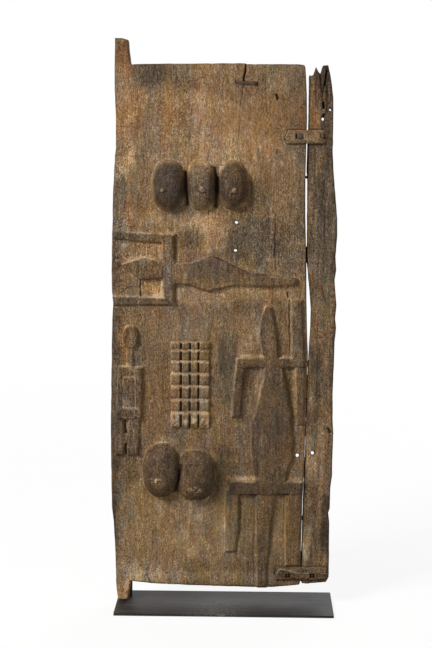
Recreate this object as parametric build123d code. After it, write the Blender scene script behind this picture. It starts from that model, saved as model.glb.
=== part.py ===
from build123d import *
import os

# Carved granary door on a steel display stand, in millimetres.
# +X runs to the right seen from the front, +Y to the back, +Z up.
# The origin is the middle of the stand's footprint, on the ground.
# The ground of the carved face lies in the plane Y = 0.

# ---------------------------------------------------------------- driving dimensions

PLANK_THICKNESS = 34.0
SIDE_PLANK_THICKNESS = 32.0

RELIEF_LOW = 7.0
RELIEF_MID = 9.0
RELIEF_HIGH = 12.0
UPPER_BREAST_PROUD = 40.0
LOWER_BREAST_PROUD = 27.0
NIPPLE_RADIUS = 6.5

BORE_RADIUS = 4.5
LOCK_BORE_RADIUS = 4.8

DOWEL_RADIUS = 3.5
DOWEL_LENGTH = 84.0
DOWEL_DEPTH = 17.0
DOWEL_CLEARANCE = 0.1

CLEAT_PROUD = 8.0
CLEAT_SEAT = 6.0

STAPLE_BAR = 5.0
STAPLE_CLEARANCE = 0.2

PLATE_WIDTH = 580.0
PLATE_DEPTH = 200.0
PLATE_THICKNESS = 6.35
PLATE_CENTRE_X = 5.5

PAD_RADIUS = 15.0
PAD_THICKNESS = 1.5
PAD_INSET = 22.0

POST_RADIUS = 12.7
POST_X = -258.5
POST_TOP = 1160.0
RUNNING_CLEARANCE = 0.05

BRACKET_PLATE = 4.0
BRACKET_HEIGHT = 40.0
BRACKET_LEFT = -280.0
BRACKET_RIGHT = -110.0
EYE_RADIUS = 18.0
UPPER_BRACKET_Z = 1118.0
LOWER_BRACKET_Z = 300.0
FORK_REACH = 11.0

COLLAR_RADIUS = 16.3
COLLAR_HEIGHT = 18.0
COLLAR_PIN_RADIUS = 2.5
WASHER_RADIUS = 16.3
WASHER_THICKNESS = 2.0

SCREW_X = (-226.0, -180.0, -130.0)
SCREW_RADIUS = 2.5
SCREW_HEAD_RADIUS = 4.8
SCREW_LENGTH = 26.0

POST_SCREW_RADIUS = 5.0
POST_SCREW_HEAD_RADIUS = 9.5
POST_SCREW_HEAD = 5.0
POST_SCREW_LENGTH = 34.0

# ---------------------------------------------------------------- worked-out places

PLATE_TOP = PAD_THICKNESS + PLATE_THICKNESS
POST_Y = PLANK_THICKNESS + BRACKET_PLATE + POST_RADIUS + RUNNING_CLEARANCE
EYE_BORE_RADIUS = POST_RADIUS + RUNNING_CLEARANCE
WASHER_Z = UPPER_BRACKET_Z - WASHER_THICKNESS
COLLAR_Z = WASHER_Z - COLLAR_HEIGHT

# ---------------------------------------------------------------- outlines, as (x, z)

MAIN_BODY = [
    (-289.8, 1450), (-246, 1449.8), (-196, 1451), (56.6, 1453.2), (59, 1450.6),
    (188, 1450.7), (206, 1448), (208.8, 1441), (211.2, 1410), (214.1, 1371),
    (216, 1305), (214.6, 1242), (213.8, 1158), (214.1, 1055), (219.3, 928),
    (220.4, 829), (222.4, 749), (225.6, 679), (223.4, 620), (221.6, 521),
    (219.5, 453), (218.8, 399), (216.3, 345), (213.8, 290), (212.1, 209),
    (210.2, 113), (209.2, 64), (206.6, 58.5), (177, 53.5), (135, 50),
    (88, 49.4), (21, 50.6), (-103, 53), (-192, 57.4), (-243, 62), (-287.5, 64),
    (-287.2, 94), (-289.6, 162.5), (-293, 225), (-298, 269), (-299.7, 370),
    (-300.8, 475), (-300, 573), (-297.2, 732), (-296, 788), (-293.4, 818),
    (-297, 847), (-298.2, 892), (-298, 964), (-296, 1020), (-295, 1092),
    (-290, 1198), (-286.5, 1230), (-287, 1314), (-289.8, 1382),
]
TOP_PEG = [
    (-289.8, 1440), (-289.5, 1519.6), (-269.7, 1518.9), (-254, 1515.3),
    (-251.8, 1511.5), (-250.5, 1487), (-247.6, 1461), (-245.5, 1440),
]
BOTTOM_PEG = [
    (-287.5, 72), (-284.8, 39), (-280.2, 17), (-277, 11), (-267.5, 9),
    (-257.3, 10.7), (-254.3, 16), (-251.3, 39.4), (-245, 72),
]
SIDE_BODY = [
    (224, 1418), (234, 1425), (240.8, 1439), (247.7, 1428.7), (250.9, 1422),
    (256, 1445.7), (257.5, 1449.6), (273, 1449.6), (278, 1429), (283.4, 1394.6),
    (287.1, 1364.5), (287.9, 1282), (286.9, 1216), (291, 1153), (296.5, 1095),
    (300.4, 1045), (300.8, 994.5), (296.9, 947), (299.1, 909.5), (295.1, 883),
    (299.1, 830), (300.5, 816), (297.7, 776), (300.6, 755), (296.9, 717),
    (295.9, 664), (293.5, 605), (293, 513), (295.8, 473), (293.9, 424),
    (292.9, 354), (288.7, 324), (287.9, 267), (284, 256), (286.6, 231),
    (287.1, 171.5), (287.2, 109), (286.7, 78.6), (279, 65.3), (228, 61.7),
    (213.3, 62.5), (212.9, 110.5), (214, 135), (215.6, 209), (216.8, 290.5),
    (219, 345), (221.9, 413), (221.1, 453), (222.9, 521), (224.8, 620),
    (226.8, 661), (228.8, 709), (231.4, 749), (232.5, 802.5), (230.5, 829),
    (225.2, 893), (222.2, 962), (222.5, 1055), (223, 1158), (224.4, 1242),
    (225.9, 1282), (225.2, 1331.5),
]

# Upper breasts: left, right, top, bottom of each, then its nipple.
UPPER_BREASTS = [
    ((-188, -102, 1194, 1064), (-157, 1120)),
    ((-97, -25, 1195, 1072), (-58, 1124)),
    ((-9, 67, 1191, 1067), (28, 1121)),
]
LOWER_BREASTS = [
    ((-214, -114, 441, 298), (-176, 348)),
    ((-114, -28, 427, 290), (-71, 325)),
]

# Lizard that lies on its side, its head to the left.
LYING_UPPER_ARM = [
    (-293, 1010), (-125.5, 1004), (-129, 980), (-165.5, 980), (-239, 985), (-293, 990.5),
]
LYING_SHOULDER = [(-163, 985), (-126, 1000), (-124, 817), (-160, 833)]
LYING_LOWER_ARM = [(-293, 835), (-160, 833), (-122, 820), (-122, 811), (-293, 808)]
LYING_HEAD = [
    (-271, 922), (-241, 933), (-207, 941.5), (-182, 936), (-158, 927), (-156, 886),
    (-181, 883.5), (-220, 883), (-250, 903),
]
LYING_BODY = [
    (-126, 928.5), (-90, 926), (-60, 938), (-28, 941.5), (17, 926), (62, 907),
    (123, 893.5), (197, 884), (192, 870), (116, 865), (43, 868.5), (13, 864.6),
    (-39.5, 851), (-65, 858), (-87, 868), (-126, 872),
]

# Small standing figure at the left edge.
SMALL_HEAD = (-267, -223, 755, 694)
SMALL_NECK = [(-257, 700), (-236.5, 700), (-236.5, 640), (-257, 640)]
SMALL_TORSO = [
    (-279, 647.5), (-211.5, 647.5), (-211.5, 517), (-220.5, 514), (-286, 514), (-281, 560),
]
SMALL_CHANNEL = [(-271, 623), (-235, 623), (-234, 536), (-271, 536)]
SMALL_LEGS = [
    [(-289, 520), (-263, 520), (-263, 434), (-287, 434)],
    [(-252.5, 520), (-220.5, 520), (-222, 434), (-254, 434)],
]
SMALL_FEET = [
    [(-287, 434), (-260.5, 434), (-260, 409.5), (-284, 409.5)],
    [(-256.5, 434), (-223, 434), (-223, 411), (-256.5, 409.5)],
]

# Grid of small squares beside the figure.
GRID_COLUMNS = [(-139, -118), (-110, -92), (-86, -68.5), (-62, -36)]
GRID_ROWS = [716, 690, 663, 630, 595.5, 558.5, 525, 482]
GRID_GROOVE = 5.0

# Large lizard that stands at the right.
TALL_HEAD = [
    (118.5, 815), (130, 808), (137, 780), (143, 745), (149, 708), (149, 672),
    (110, 672), (101, 698), (95, 740), (100, 772), (110, 812),
]
TALL_SHOULDER = [(36, 674), (220, 676), (220, 650), (36, 648)]
TALL_LEFT_ARM = [(36, 674), (29, 603), (24, 514.5), (50.5, 514.5), (54.5, 587), (63, 648)]
TALL_RIGHT_ARM = [(178, 830), (210, 830), (218, 676), (179, 676)]
TALL_RIGHT_BAND = [(191, 652), (218, 652), (215, 494), (197, 494)]
TALL_TORSO = [
    (113.5, 652), (100.5, 587), (84.5, 518), (73, 491), (76, 422), (82.5, 366),
    (95, 340), (166, 340), (175, 371.5), (190, 402), (191, 440), (184, 528),
    (173, 587.5), (158, 652),
]
TALL_HIP = [(17, 341), (214, 342), (214, 305), (17, 303)]
TALL_LEFT_LEG = [(11, 308), (46.5, 308), (41.5, 234), (34, 147), (12.5, 147)]
TALL_RIGHT_LEG = [(173, 308), (211, 308), (209, 113), (176.5, 112)]
TALL_TAIL = [
    (87, 308), (146, 308), (134, 242), (128.5, 170), (123, 115), (122, 50), (93.5, 50),
    (90.5, 180),
]

# Wear and damage.
TOP_CRACK = [
    (53.6, 1460), (58, 1460), (54, 1411), (51, 1399), (45.5, 1370), (44.5, 1344),
    (40, 1252), (39, 1252), (43, 1344), (43.5, 1370), (48, 1399), (50, 1411),
]
MIDDLE_CRACK = [(136, 1031), (137.5, 965), (139, 829), (137, 829), (134.5, 965)]
UPPER_SLIT = [(138, 1373), (140, 1373), (143, 1359), (141, 1358)]
SIDE_ROT = [(264, 1460), (269, 1460), (264.5, 1394), (261.5, 1394)]
SIDE_PITS = [
    [(255, 1346), (264, 1347), (265, 1332), (259, 1330)],
    [(256, 1326), (264, 1327), (265, 1315), (257, 1314)],
]
CRACK_DEPTH = 24.0
SLIT_DEPTH = 12.0

# Round holes, as (x, z).
MAIN_BORES = [(33.4, 1033.3), (31.1, 958.7)]
MAIN_LOCK_BORE = (199.5, 411.4)
SIDE_LOCK_BORE = (239.8, 418.5)
SIDE_BORE = (259.6, 1307.6)
SIDE_EDGE_BORE = (279.0, 1333.3)

# Cleats and their staples.
UPPER_CLEAT = [(160, 1261), (169, 1279.5), (270.5, 1279.5), (271, 1242.5), (164, 1242.5)]
LOWER_CLEAT = [(140.5, 91), (144, 109.5), (281, 110), (281.5, 74), (143, 72)]
UPPER_LEGS = [(205.5, 1262), (257, 1263)]
UPPER_CLENCH = (17.0, 8.0)
LOWER_LEGS = [(176, 85), (241, 85)]
CRACK_STAPLE_ENDS = [(33.5, 1404), (83.5, 1397)]
CRACK_STAPLE_DEPTH = 20.0
DOWELS = [1154.3, 236.9]
GAP_X = {1154.3: 218.4, 236.9: 214.5}


# ---------------------------------------------------------------- helpers


def panel(outline, front, back):
    """A flat piece with this outline, from Y = front to Y = back."""
    face = Plane.XZ.offset(-back) * Polygon(*outline, align=None)
    return extrude(face, amount=back - front, dir=(0, -1, 0))


def block(low, high):
    """A box between two corners."""
    size = [high[i] - low[i] for i in range(3)]
    centre = [(high[i] + low[i]) / 2 for i in range(3)]
    return Pos(*centre) * Box(*size)


def rod_y(x, z, radius, front, back):
    """A round rod along Y."""
    return Pos(x, (front + back) / 2, z) * Rot(90, 0, 0) * Cylinder(radius, back - front)


def rod_x(left, right, y, z, radius):
    """A round rod along X."""
    return Pos((left + right) / 2, y, z) * Rot(0, 90, 0) * Cylinder(radius, right - left)


def rod_z(x, y, low, high, radius):
    """A round rod along Z."""
    return Pos(x, y, (low + high) / 2) * Cylinder(radius, high - low)


def peg(outline, narrow_z, wide_z, narrow_depth):
    """A peg with this outline and rounded corners, thinner towards its end."""
    width = 2 * PLANK_THICKNESS
    middle = (outline[0][0] + outline[-1][0]) / 2
    wide = Pos(middle, PLANK_THICKNESS / 2, wide_z) * RectangleRounded(
        outline[-1][0] - outline[0][0] + 2, PLANK_THICKNESS, 8
    )
    narrow = Pos(middle, PLANK_THICKNESS / 2, narrow_z) * RectangleRounded(
        outline[-1][0] - outline[0][0] + 2, narrow_depth, 8
    )
    return loft([wide, narrow]) & panel(outline, -width, width)


def breast(bounds, nipple, proud):
    """A breast that swells to its nipple's height and rounds off below it."""
    left, right, top, bottom = bounds
    middle = (left + right) / 2
    half_width = (right - left) / 2
    upper = scale(Sphere(1), by=(half_width, proud, top - nipple[1]))
    upper = upper & Pos(0, -proud / 2 + 2, 500) * Box(400, proud + 4, 1000)
    lower = scale(Sphere(1), by=(half_width, proud, nipple[1] - bottom))
    lower = lower & Pos(0, -proud / 2 + 2, -500) * Box(400, proud + 4, 1000)
    swell = Pos(middle, 0, nipple[1]) * (upper + lower)
    offset = abs(nipple[0] - middle) / half_width
    tip = -proud * (1 - offset**2) ** 0.5
    return swell + Pos(nipple[0], tip + 1.5, nipple[1]) * Sphere(NIPPLE_RADIUS)


def relief(outline, proud):
    """A raised flat figure, rooted 1 mm in the plank."""
    return panel(outline, -proud, 1)


def grid_squares():
    """Rows of small raised squares in columns."""
    squares = []
    for left, right in GRID_COLUMNS:
        for top, bottom in zip(GRID_ROWS, GRID_ROWS[1:]):
            low = (left, -RELIEF_MID, bottom + GRID_GROOVE / 2)
            high = (right, 1, top - GRID_GROOVE / 2)
            squares.append(block(low, high))
        rib = block((left, -RELIEF_LOW, GRID_ROWS[-1]), (right, 1, GRID_ROWS[0]))
        squares.append(rib)
    return squares


def small_figure():
    """Standing figure with a framed body, two legs and two feet."""
    left, right, top, bottom = SMALL_HEAD
    oval = Ellipse((right - left) / 2, (top - bottom) / 2)
    centre = ((left + right) / 2, (top + bottom) / 2)
    face = Plane.XZ.offset(-1) * Pos(*centre) * oval
    head = extrude(face, amount=RELIEF_MID + 1, dir=(0, -1, 0))
    body = relief(SMALL_TORSO, RELIEF_MID) - panel(SMALL_CHANNEL, -20, -RELIEF_LOW)
    limbs = [relief(outline, RELIEF_LOW) for outline in SMALL_LEGS]
    feet = [relief(outline, RELIEF_MID) for outline in SMALL_FEET]
    return [head, relief(SMALL_NECK, RELIEF_LOW), body] + limbs + feet


def lying_lizard():
    """Lizard with its head to the left and its tail to the right."""
    parts = [relief(LYING_UPPER_ARM, RELIEF_MID), relief(LYING_LOWER_ARM, RELIEF_MID)]
    parts.append(relief(LYING_SHOULDER, RELIEF_MID))
    parts.append(relief(LYING_HEAD, RELIEF_HIGH))
    parts.append(relief(LYING_BODY, RELIEF_HIGH))
    return parts


def tall_lizard():
    """Lizard that stands upright, with its right arm raised."""
    parts = [relief(TALL_HEAD, RELIEF_HIGH), relief(TALL_TORSO, RELIEF_HIGH)]
    for outline in (TALL_SHOULDER, TALL_HIP, TALL_LEFT_ARM, TALL_RIGHT_ARM):
        parts.append(relief(outline, RELIEF_MID))
    parts.append(relief(TALL_RIGHT_BAND, RELIEF_LOW))
    for outline in (TALL_LEFT_LEG, TALL_RIGHT_LEG):
        parts.append(relief(outline, RELIEF_LOW))
    parts.append(relief(TALL_TAIL, RELIEF_MID))
    return parts


def cleat(outline):
    """A short bar, let into the planks by CLEAT_SEAT."""
    return panel(outline, -CLEAT_PROUD, CLEAT_SEAT)


def leg_bar(place, front, back, extra=0.0):
    """A square staple leg along Y, or with extra the hole for it."""
    x, z = place
    half = STAPLE_BAR / 2 + extra
    return block((x - half, front, z - half), (x + half, back, z + half))


def back_staple(places, front):
    """A staple whose crown lies on the planks' back, its legs pointing forward."""
    half = STAPLE_BAR / 2
    back = PLANK_THICKNESS + STAPLE_BAR
    crown = panel(
        [
            (places[0][0] - half, places[0][1] - half),
            (places[1][0] + half, places[1][1] - half),
            (places[1][0] + half, places[1][1] + half),
            (places[0][0] - half, places[0][1] + half),
        ],
        PLANK_THICKNESS,
        back,
    )
    return crown + [leg_bar(place, front, back) for place in places]


def staple_holes(places):
    """Square holes for a staple's legs, right through."""
    return [leg_bar(p, -50, 100, STAPLE_CLEARANCE) for p in places]


def bracket_screw(x, z):
    """A countersunk wood screw in a bracket, pointing forward into the plank."""
    head_back = PLANK_THICKNESS + BRACKET_PLATE
    shank_front = head_back - SCREW_LENGTH
    head_depth = SCREW_HEAD_RADIUS - SCREW_RADIUS
    cone = Pos(x, head_back - head_depth / 2, z) * Rot(90, 0, 0) * Cone(
        SCREW_HEAD_RADIUS, SCREW_RADIUS, head_depth
    )
    return cone + rod_y(x, z, SCREW_RADIUS, shank_front, head_back - head_depth)


def bracket_screws(bracket_z):
    """The three screws of one bracket."""
    middle = bracket_z + BRACKET_HEIGHT / 2
    return [bracket_screw(x, middle) for x in SCREW_X]


def pilot_holes(bracket_z):
    """Holes in the plank for one bracket's screws."""
    middle = bracket_z + BRACKET_HEIGHT / 2
    front = PLANK_THICKNESS + BRACKET_PLATE - SCREW_LENGTH - 1
    return [rod_y(x, middle, SCREW_RADIUS + 0.1, front, 60) for x in SCREW_X]


def bracket_plate(bracket_z):
    """The flat plate of a bracket, drilled for its screws."""
    plate = block(
        (BRACKET_LEFT, PLANK_THICKNESS, bracket_z),
        (BRACKET_RIGHT, PLANK_THICKNESS + BRACKET_PLATE, bracket_z + BRACKET_HEIGHT),
    )
    return fillet(plate.edges().filter_by(Axis.Y).group_by(Axis.X)[-1], 6)


def in_front_of_brackets(bracket_z):
    """The room of the plank, which no bracket enters."""
    return block((-400, -50, bracket_z - 10), (0, PLANK_THICKNESS, bracket_z + 60))


# ---------------------------------------------------------------- wooden pieces

upper_cleat = cleat(UPPER_CLEAT) - staple_holes(UPPER_LEGS)
lower_cleat = cleat(LOWER_CLEAT) - staple_holes(LOWER_LEGS)

carving = lying_lizard() + small_figure() + grid_squares() + tall_lizard()
for bounds, nipple in UPPER_BREASTS:
    carving.append(breast(bounds, nipple, UPPER_BREAST_PROUD))
for bounds, nipple in LOWER_BREASTS:
    carving.append(breast(bounds, nipple, LOWER_BREAST_PROUD))

main_plank = panel(MAIN_BODY, 0, PLANK_THICKNESS)
main_plank = main_plank + peg(TOP_PEG, 1522, 1440, 30) + peg(BOTTOM_PEG, 8, 72, 24)
main_plank = main_plank + carving
main_plank = main_plank - panel(TOP_CRACK, -20, CRACK_DEPTH)
main_plank = main_plank - panel(MIDDLE_CRACK, -20, SLIT_DEPTH)
main_plank = main_plank - panel(UPPER_SLIT, -20, SLIT_DEPTH)
for x, z in MAIN_BORES:
    main_plank = main_plank - rod_y(x, z, BORE_RADIUS, -20, 60)
main_plank = main_plank - rod_y(*MAIN_LOCK_BORE, LOCK_BORE_RADIUS, -20, 60)

side_plank = panel(SIDE_BODY, 0, SIDE_PLANK_THICKNESS)
side_plank = side_plank - panel(SIDE_ROT, -20, SLIT_DEPTH)
for pit in SIDE_PITS:
    side_plank = side_plank - panel(pit, -20, SLIT_DEPTH)
side_plank = side_plank - rod_y(*SIDE_LOCK_BORE, LOCK_BORE_RADIUS, -20, 60)
side_plank = side_plank - rod_y(*SIDE_BORE, BORE_RADIUS - 0.5, -20, 60)
side_plank = side_plank - rod_y(*SIDE_EDGE_BORE, BORE_RADIUS, -20, 60)

for outline in (UPPER_CLEAT, LOWER_CLEAT):
    main_plank = main_plank - panel(outline, -20, CLEAT_SEAT)
    side_plank = side_plank - panel(outline, -20, CLEAT_SEAT)
for places in (UPPER_LEGS, LOWER_LEGS):
    main_plank = main_plank - staple_holes(places)[0]
    side_plank = side_plank - staple_holes(places)[1]

dowels = []
for z in DOWELS:
    left = GAP_X[z] - DOWEL_LENGTH / 2
    right = GAP_X[z] + DOWEL_LENGTH / 2
    dowels.append(rod_x(left, right, DOWEL_DEPTH, z, DOWEL_RADIUS))
    hole = rod_x(left - 1, right + 1, DOWEL_DEPTH, z, DOWEL_RADIUS + DOWEL_CLEARANCE)
    main_plank = main_plank - hole
    side_plank = side_plank - hole

# ---------------------------------------------------------------- iron staples

upper_cleat_staple = back_staple(UPPER_LEGS, -CLEAT_PROUD - 3)
clench_front = -CLEAT_PROUD - 3
half_bar = STAPLE_BAR / 2
left_x, left_z = UPPER_LEGS[0]
right_x, right_z = UPPER_LEGS[1]
upper_cleat_staple = upper_cleat_staple + panel(
    [
        (left_x + half_bar, left_z + 5), (left_x + half_bar, left_z - 5),
        (left_x - UPPER_CLENCH[0], left_z - 2), (left_x - UPPER_CLENCH[0], left_z + 2),
    ],
    clench_front,
    -CLEAT_PROUD,
)
upper_cleat_staple = upper_cleat_staple + panel(
    [
        (right_x - half_bar, right_z + 5), (right_x + UPPER_CLENCH[1], right_z + 4),
        (right_x + UPPER_CLENCH[1], right_z - 4), (right_x - half_bar, right_z - 5),
    ],
    clench_front,
    -CLEAT_PROUD,
)
lower_cleat_staple = back_staple(LOWER_LEGS, -CLEAT_PROUD + 4)

crack_left, crack_right = CRACK_STAPLE_ENDS
crown = [
    (crack_left[0] - half_bar, crack_left[1] - half_bar),
    (crack_right[0] + half_bar, crack_right[1] - half_bar),
    (crack_right[0] + half_bar, crack_right[1] + half_bar),
    (crack_left[0] - half_bar, crack_left[1] + half_bar),
]
crack_staple = panel(crown, -4, 0)
for place in CRACK_STAPLE_ENDS:
    crack_staple = crack_staple + leg_bar(place, -4, CRACK_STAPLE_DEPTH)
    socket = leg_bar(place, -0.5, CRACK_STAPLE_DEPTH + 1, STAPLE_CLEARANCE)
    main_plank = main_plank - socket

# ---------------------------------------------------------------- stand

plate_left = PLATE_CENTRE_X - PLATE_WIDTH / 2
plate_right = PLATE_CENTRE_X + PLATE_WIDTH / 2
base_plate = block(
    (plate_left, -PLATE_DEPTH / 2, PAD_THICKNESS), (plate_right, PLATE_DEPTH / 2, PLATE_TOP)
)
base_plate = fillet(base_plate.edges().filter_by(Axis.Z), 2)
head_gap = 0.1
sink = Pos(POST_X, POST_Y, PAD_THICKNESS + POST_SCREW_HEAD / 2) * Cone(
    POST_SCREW_HEAD_RADIUS + head_gap, POST_SCREW_RADIUS + head_gap, POST_SCREW_HEAD
)
shaft = rod_z(POST_X, POST_Y, 0, PLATE_TOP + 1, POST_SCREW_RADIUS + head_gap)
base_plate = base_plate - sink - shaft

felt_pads = []
for x in (plate_left + PAD_INSET, plate_right - PAD_INSET):
    for y in (-PLATE_DEPTH / 2 + PAD_INSET, PLATE_DEPTH / 2 - PAD_INSET):
        felt_pads.append(rod_z(x, y, 0, PAD_THICKNESS, PAD_RADIUS))

upright_post = rod_z(POST_X, POST_Y, PLATE_TOP, POST_TOP, POST_RADIUS)
upright_post = chamfer(upright_post.edges().group_by(Axis.Z)[-1], 1.5)
tapped_depth = PLATE_TOP + POST_SCREW_LENGTH
upright_post = upright_post - rod_z(
    POST_X, POST_Y, 0, tapped_depth, POST_SCREW_RADIUS + head_gap
)

post_screw = Pos(POST_X, POST_Y, PAD_THICKNESS + POST_SCREW_HEAD / 2) * Cone(
    POST_SCREW_HEAD_RADIUS, POST_SCREW_RADIUS, POST_SCREW_HEAD
)
post_screw = post_screw + rod_z(
    POST_X, POST_Y, PAD_THICKNESS + POST_SCREW_HEAD, PAD_THICKNESS + POST_SCREW_LENGTH,
    POST_SCREW_RADIUS,
)

support_collar = rod_z(POST_X, POST_Y, COLLAR_Z, WASHER_Z, COLLAR_RADIUS)
support_collar = support_collar - rod_z(
    POST_X, POST_Y, COLLAR_Z - 1, WASHER_Z + 1, POST_RADIUS
)
collar_middle = (COLLAR_Z + WASHER_Z) / 2
pin_left = POST_X - COLLAR_RADIUS
pin_right = POST_X + COLLAR_RADIUS
pin_hole = rod_x(pin_left - 1, pin_right + 1, POST_Y, collar_middle, COLLAR_PIN_RADIUS)
support_collar = support_collar - pin_hole
upright_post = upright_post - pin_hole
collar_pin = rod_x(
    pin_left + 0.5, pin_right - 0.5, POST_Y, collar_middle, COLLAR_PIN_RADIUS
)

thrust_washer = rod_z(POST_X, POST_Y, WASHER_Z, UPPER_BRACKET_Z, WASHER_RADIUS)
thrust_washer = thrust_washer - rod_z(
    POST_X, POST_Y, WASHER_Z - 1, UPPER_BRACKET_Z + 1, EYE_BORE_RADIUS
)

# ---------------------------------------------------------------- brackets on the door's back

upper_eye_bracket = bracket_plate(UPPER_BRACKET_Z)
upper_eye_bracket = upper_eye_bracket + rod_z(
    POST_X, POST_Y, UPPER_BRACKET_Z, UPPER_BRACKET_Z + BRACKET_HEIGHT, EYE_RADIUS
)
upper_eye_bracket = upper_eye_bracket - rod_z(
    POST_X, POST_Y, UPPER_BRACKET_Z - 1, UPPER_BRACKET_Z + BRACKET_HEIGHT + 1,
    EYE_BORE_RADIUS,
)
upper_eye_bracket = upper_eye_bracket - in_front_of_brackets(UPPER_BRACKET_Z)

lower_fork_bracket = bracket_plate(LOWER_BRACKET_Z)
fork_outer = block(
    (POST_X - EYE_RADIUS, PLANK_THICKNESS, LOWER_BRACKET_Z),
    (POST_X + EYE_RADIUS, POST_Y + FORK_REACH, LOWER_BRACKET_Z + BRACKET_HEIGHT),
)
fork_slot = rod_z(
    POST_X, POST_Y, LOWER_BRACKET_Z - 1, LOWER_BRACKET_Z + BRACKET_HEIGHT + 1,
    EYE_BORE_RADIUS,
)
fork_mouth = block(
    (POST_X - EYE_BORE_RADIUS, POST_Y, LOWER_BRACKET_Z - 1),
    (POST_X + EYE_BORE_RADIUS, POST_Y + 50, LOWER_BRACKET_Z + BRACKET_HEIGHT + 1),
)
lower_fork_bracket = lower_fork_bracket + fork_outer - fork_slot - fork_mouth

upper_bracket_screws = bracket_screws(UPPER_BRACKET_Z)
lower_bracket_screws = bracket_screws(LOWER_BRACKET_Z)
for z in (UPPER_BRACKET_Z, LOWER_BRACKET_Z):
    main_plank = main_plank - pilot_holes(z)
for x in SCREW_X:
    for z in (UPPER_BRACKET_Z, LOWER_BRACKET_Z):
        middle = z + BRACKET_HEIGHT / 2
        head_back = PLANK_THICKNESS + BRACKET_PLATE
        head_depth = SCREW_HEAD_RADIUS - SCREW_RADIUS
        cone = Pos(x, head_back - head_depth / 2, middle) * Rot(90, 0, 0) * Cone(
            SCREW_HEAD_RADIUS, SCREW_RADIUS, head_depth
        )
        hole = rod_y(x, middle, SCREW_RADIUS, 0, 60)
        if z == UPPER_BRACKET_Z:
            upper_eye_bracket = upper_eye_bracket - cone - hole
        else:
            lower_fork_bracket = lower_fork_bracket - cone - hole

# ---------------------------------------------------------------- files

nodes = {
    "main_plank": main_plank,
    "side_plank": side_plank,
    "upper_cleat": upper_cleat,
    "lower_cleat": lower_cleat,
    "upper_cleat_staple": upper_cleat_staple,
    "lower_cleat_staple": lower_cleat_staple,
    "crack_staple": crack_staple,
    "upper_dowel": dowels[0],
    "lower_dowel": dowels[1],
    "upper_eye_bracket": upper_eye_bracket,
    "lower_fork_bracket": lower_fork_bracket,
    "upper_bracket_screws": Compound(children=upper_bracket_screws),
    "lower_bracket_screws": Compound(children=lower_bracket_screws),
    "thrust_washer": thrust_washer,
    "base_plate": base_plate,
    "felt_pads": Compound(children=felt_pads),
    "upright_post": upright_post,
    "post_screw": post_screw,
    "support_collar": support_collar,
    "collar_pin": collar_pin,
}

os.makedirs("parts", exist_ok=True)
for name, shape in nodes.items():
    export_step(shape, "parts/" + name + ".step")
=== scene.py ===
import math

import bpy
import numpy as np
from mathutils import Matrix, Vector


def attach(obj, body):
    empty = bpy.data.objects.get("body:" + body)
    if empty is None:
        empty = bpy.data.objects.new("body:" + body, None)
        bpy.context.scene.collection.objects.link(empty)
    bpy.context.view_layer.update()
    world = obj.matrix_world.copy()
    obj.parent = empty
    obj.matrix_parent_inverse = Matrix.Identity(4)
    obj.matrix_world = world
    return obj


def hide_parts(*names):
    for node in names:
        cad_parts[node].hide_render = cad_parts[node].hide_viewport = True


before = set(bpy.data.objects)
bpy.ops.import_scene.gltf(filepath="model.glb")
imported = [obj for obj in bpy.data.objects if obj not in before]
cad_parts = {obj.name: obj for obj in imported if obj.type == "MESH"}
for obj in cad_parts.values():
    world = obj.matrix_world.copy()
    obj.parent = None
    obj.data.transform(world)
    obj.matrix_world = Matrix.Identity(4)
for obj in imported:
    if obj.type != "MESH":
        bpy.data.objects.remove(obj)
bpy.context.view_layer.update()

# The visual model of the carved granary door on its stand.
# Shapes are worked out in millimetres, as (x, z) on the door's face, and y towards the back.

MM = 0.001
STEP = 1.75
PLANK = 34.0
SIDE_PLANK = 32.0

# ---------------------------------------------------------------- outlines, as (x, z)

MAIN = [
    (-289.8, 1450), (-289.5, 1519.6), (-269.7, 1518.9), (-254, 1515.3), (-251.8, 1511.5), (-250.5, 1487),
    (-247.6, 1461), (-245.6, 1450.6), (-196, 1452), (56.6, 1454.2), (59, 1451.6), (190, 1451.6),
    (209.5, 1449.4), (212.8, 1443), (215, 1410), (216.9, 1371), (218, 1305), (216.6, 1242), (215, 1158),
    (215.6, 1055), (217.4, 989), (219.3, 928), (220.4, 829), (222.4, 749), (225.6, 679), (223.4, 620),
    (221.6, 521), (219.5, 453), (218.8, 399), (216.3, 345), (213.8, 290), (212.1, 209), (210.2, 113),
    (209.2, 64), (206.6, 58.5), (177, 53.5), (135, 50), (88, 49.4), (21, 50.6), (-103, 53), (-192, 57.4),
    (-247, 63), (-248.8, 39.4), (-251.8, 16), (-254.6, 10.6), (-267.5, 9), (-280, 10.6), (-283, 17),
    (-286, 39), (-287.5, 66), (-287.2, 94), (-289.6, 162.5), (-293, 225), (-298, 269), (-299.7, 370),
    (-300.8, 475), (-300, 573), (-297.2, 732), (-296, 788), (-293.4, 818), (-297, 847), (-298.2, 892),
    (-298, 964), (-296, 1020), (-295, 1092), (-290, 1198), (-286.5, 1230), (-287, 1314), (-289.8, 1382),
]
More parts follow.
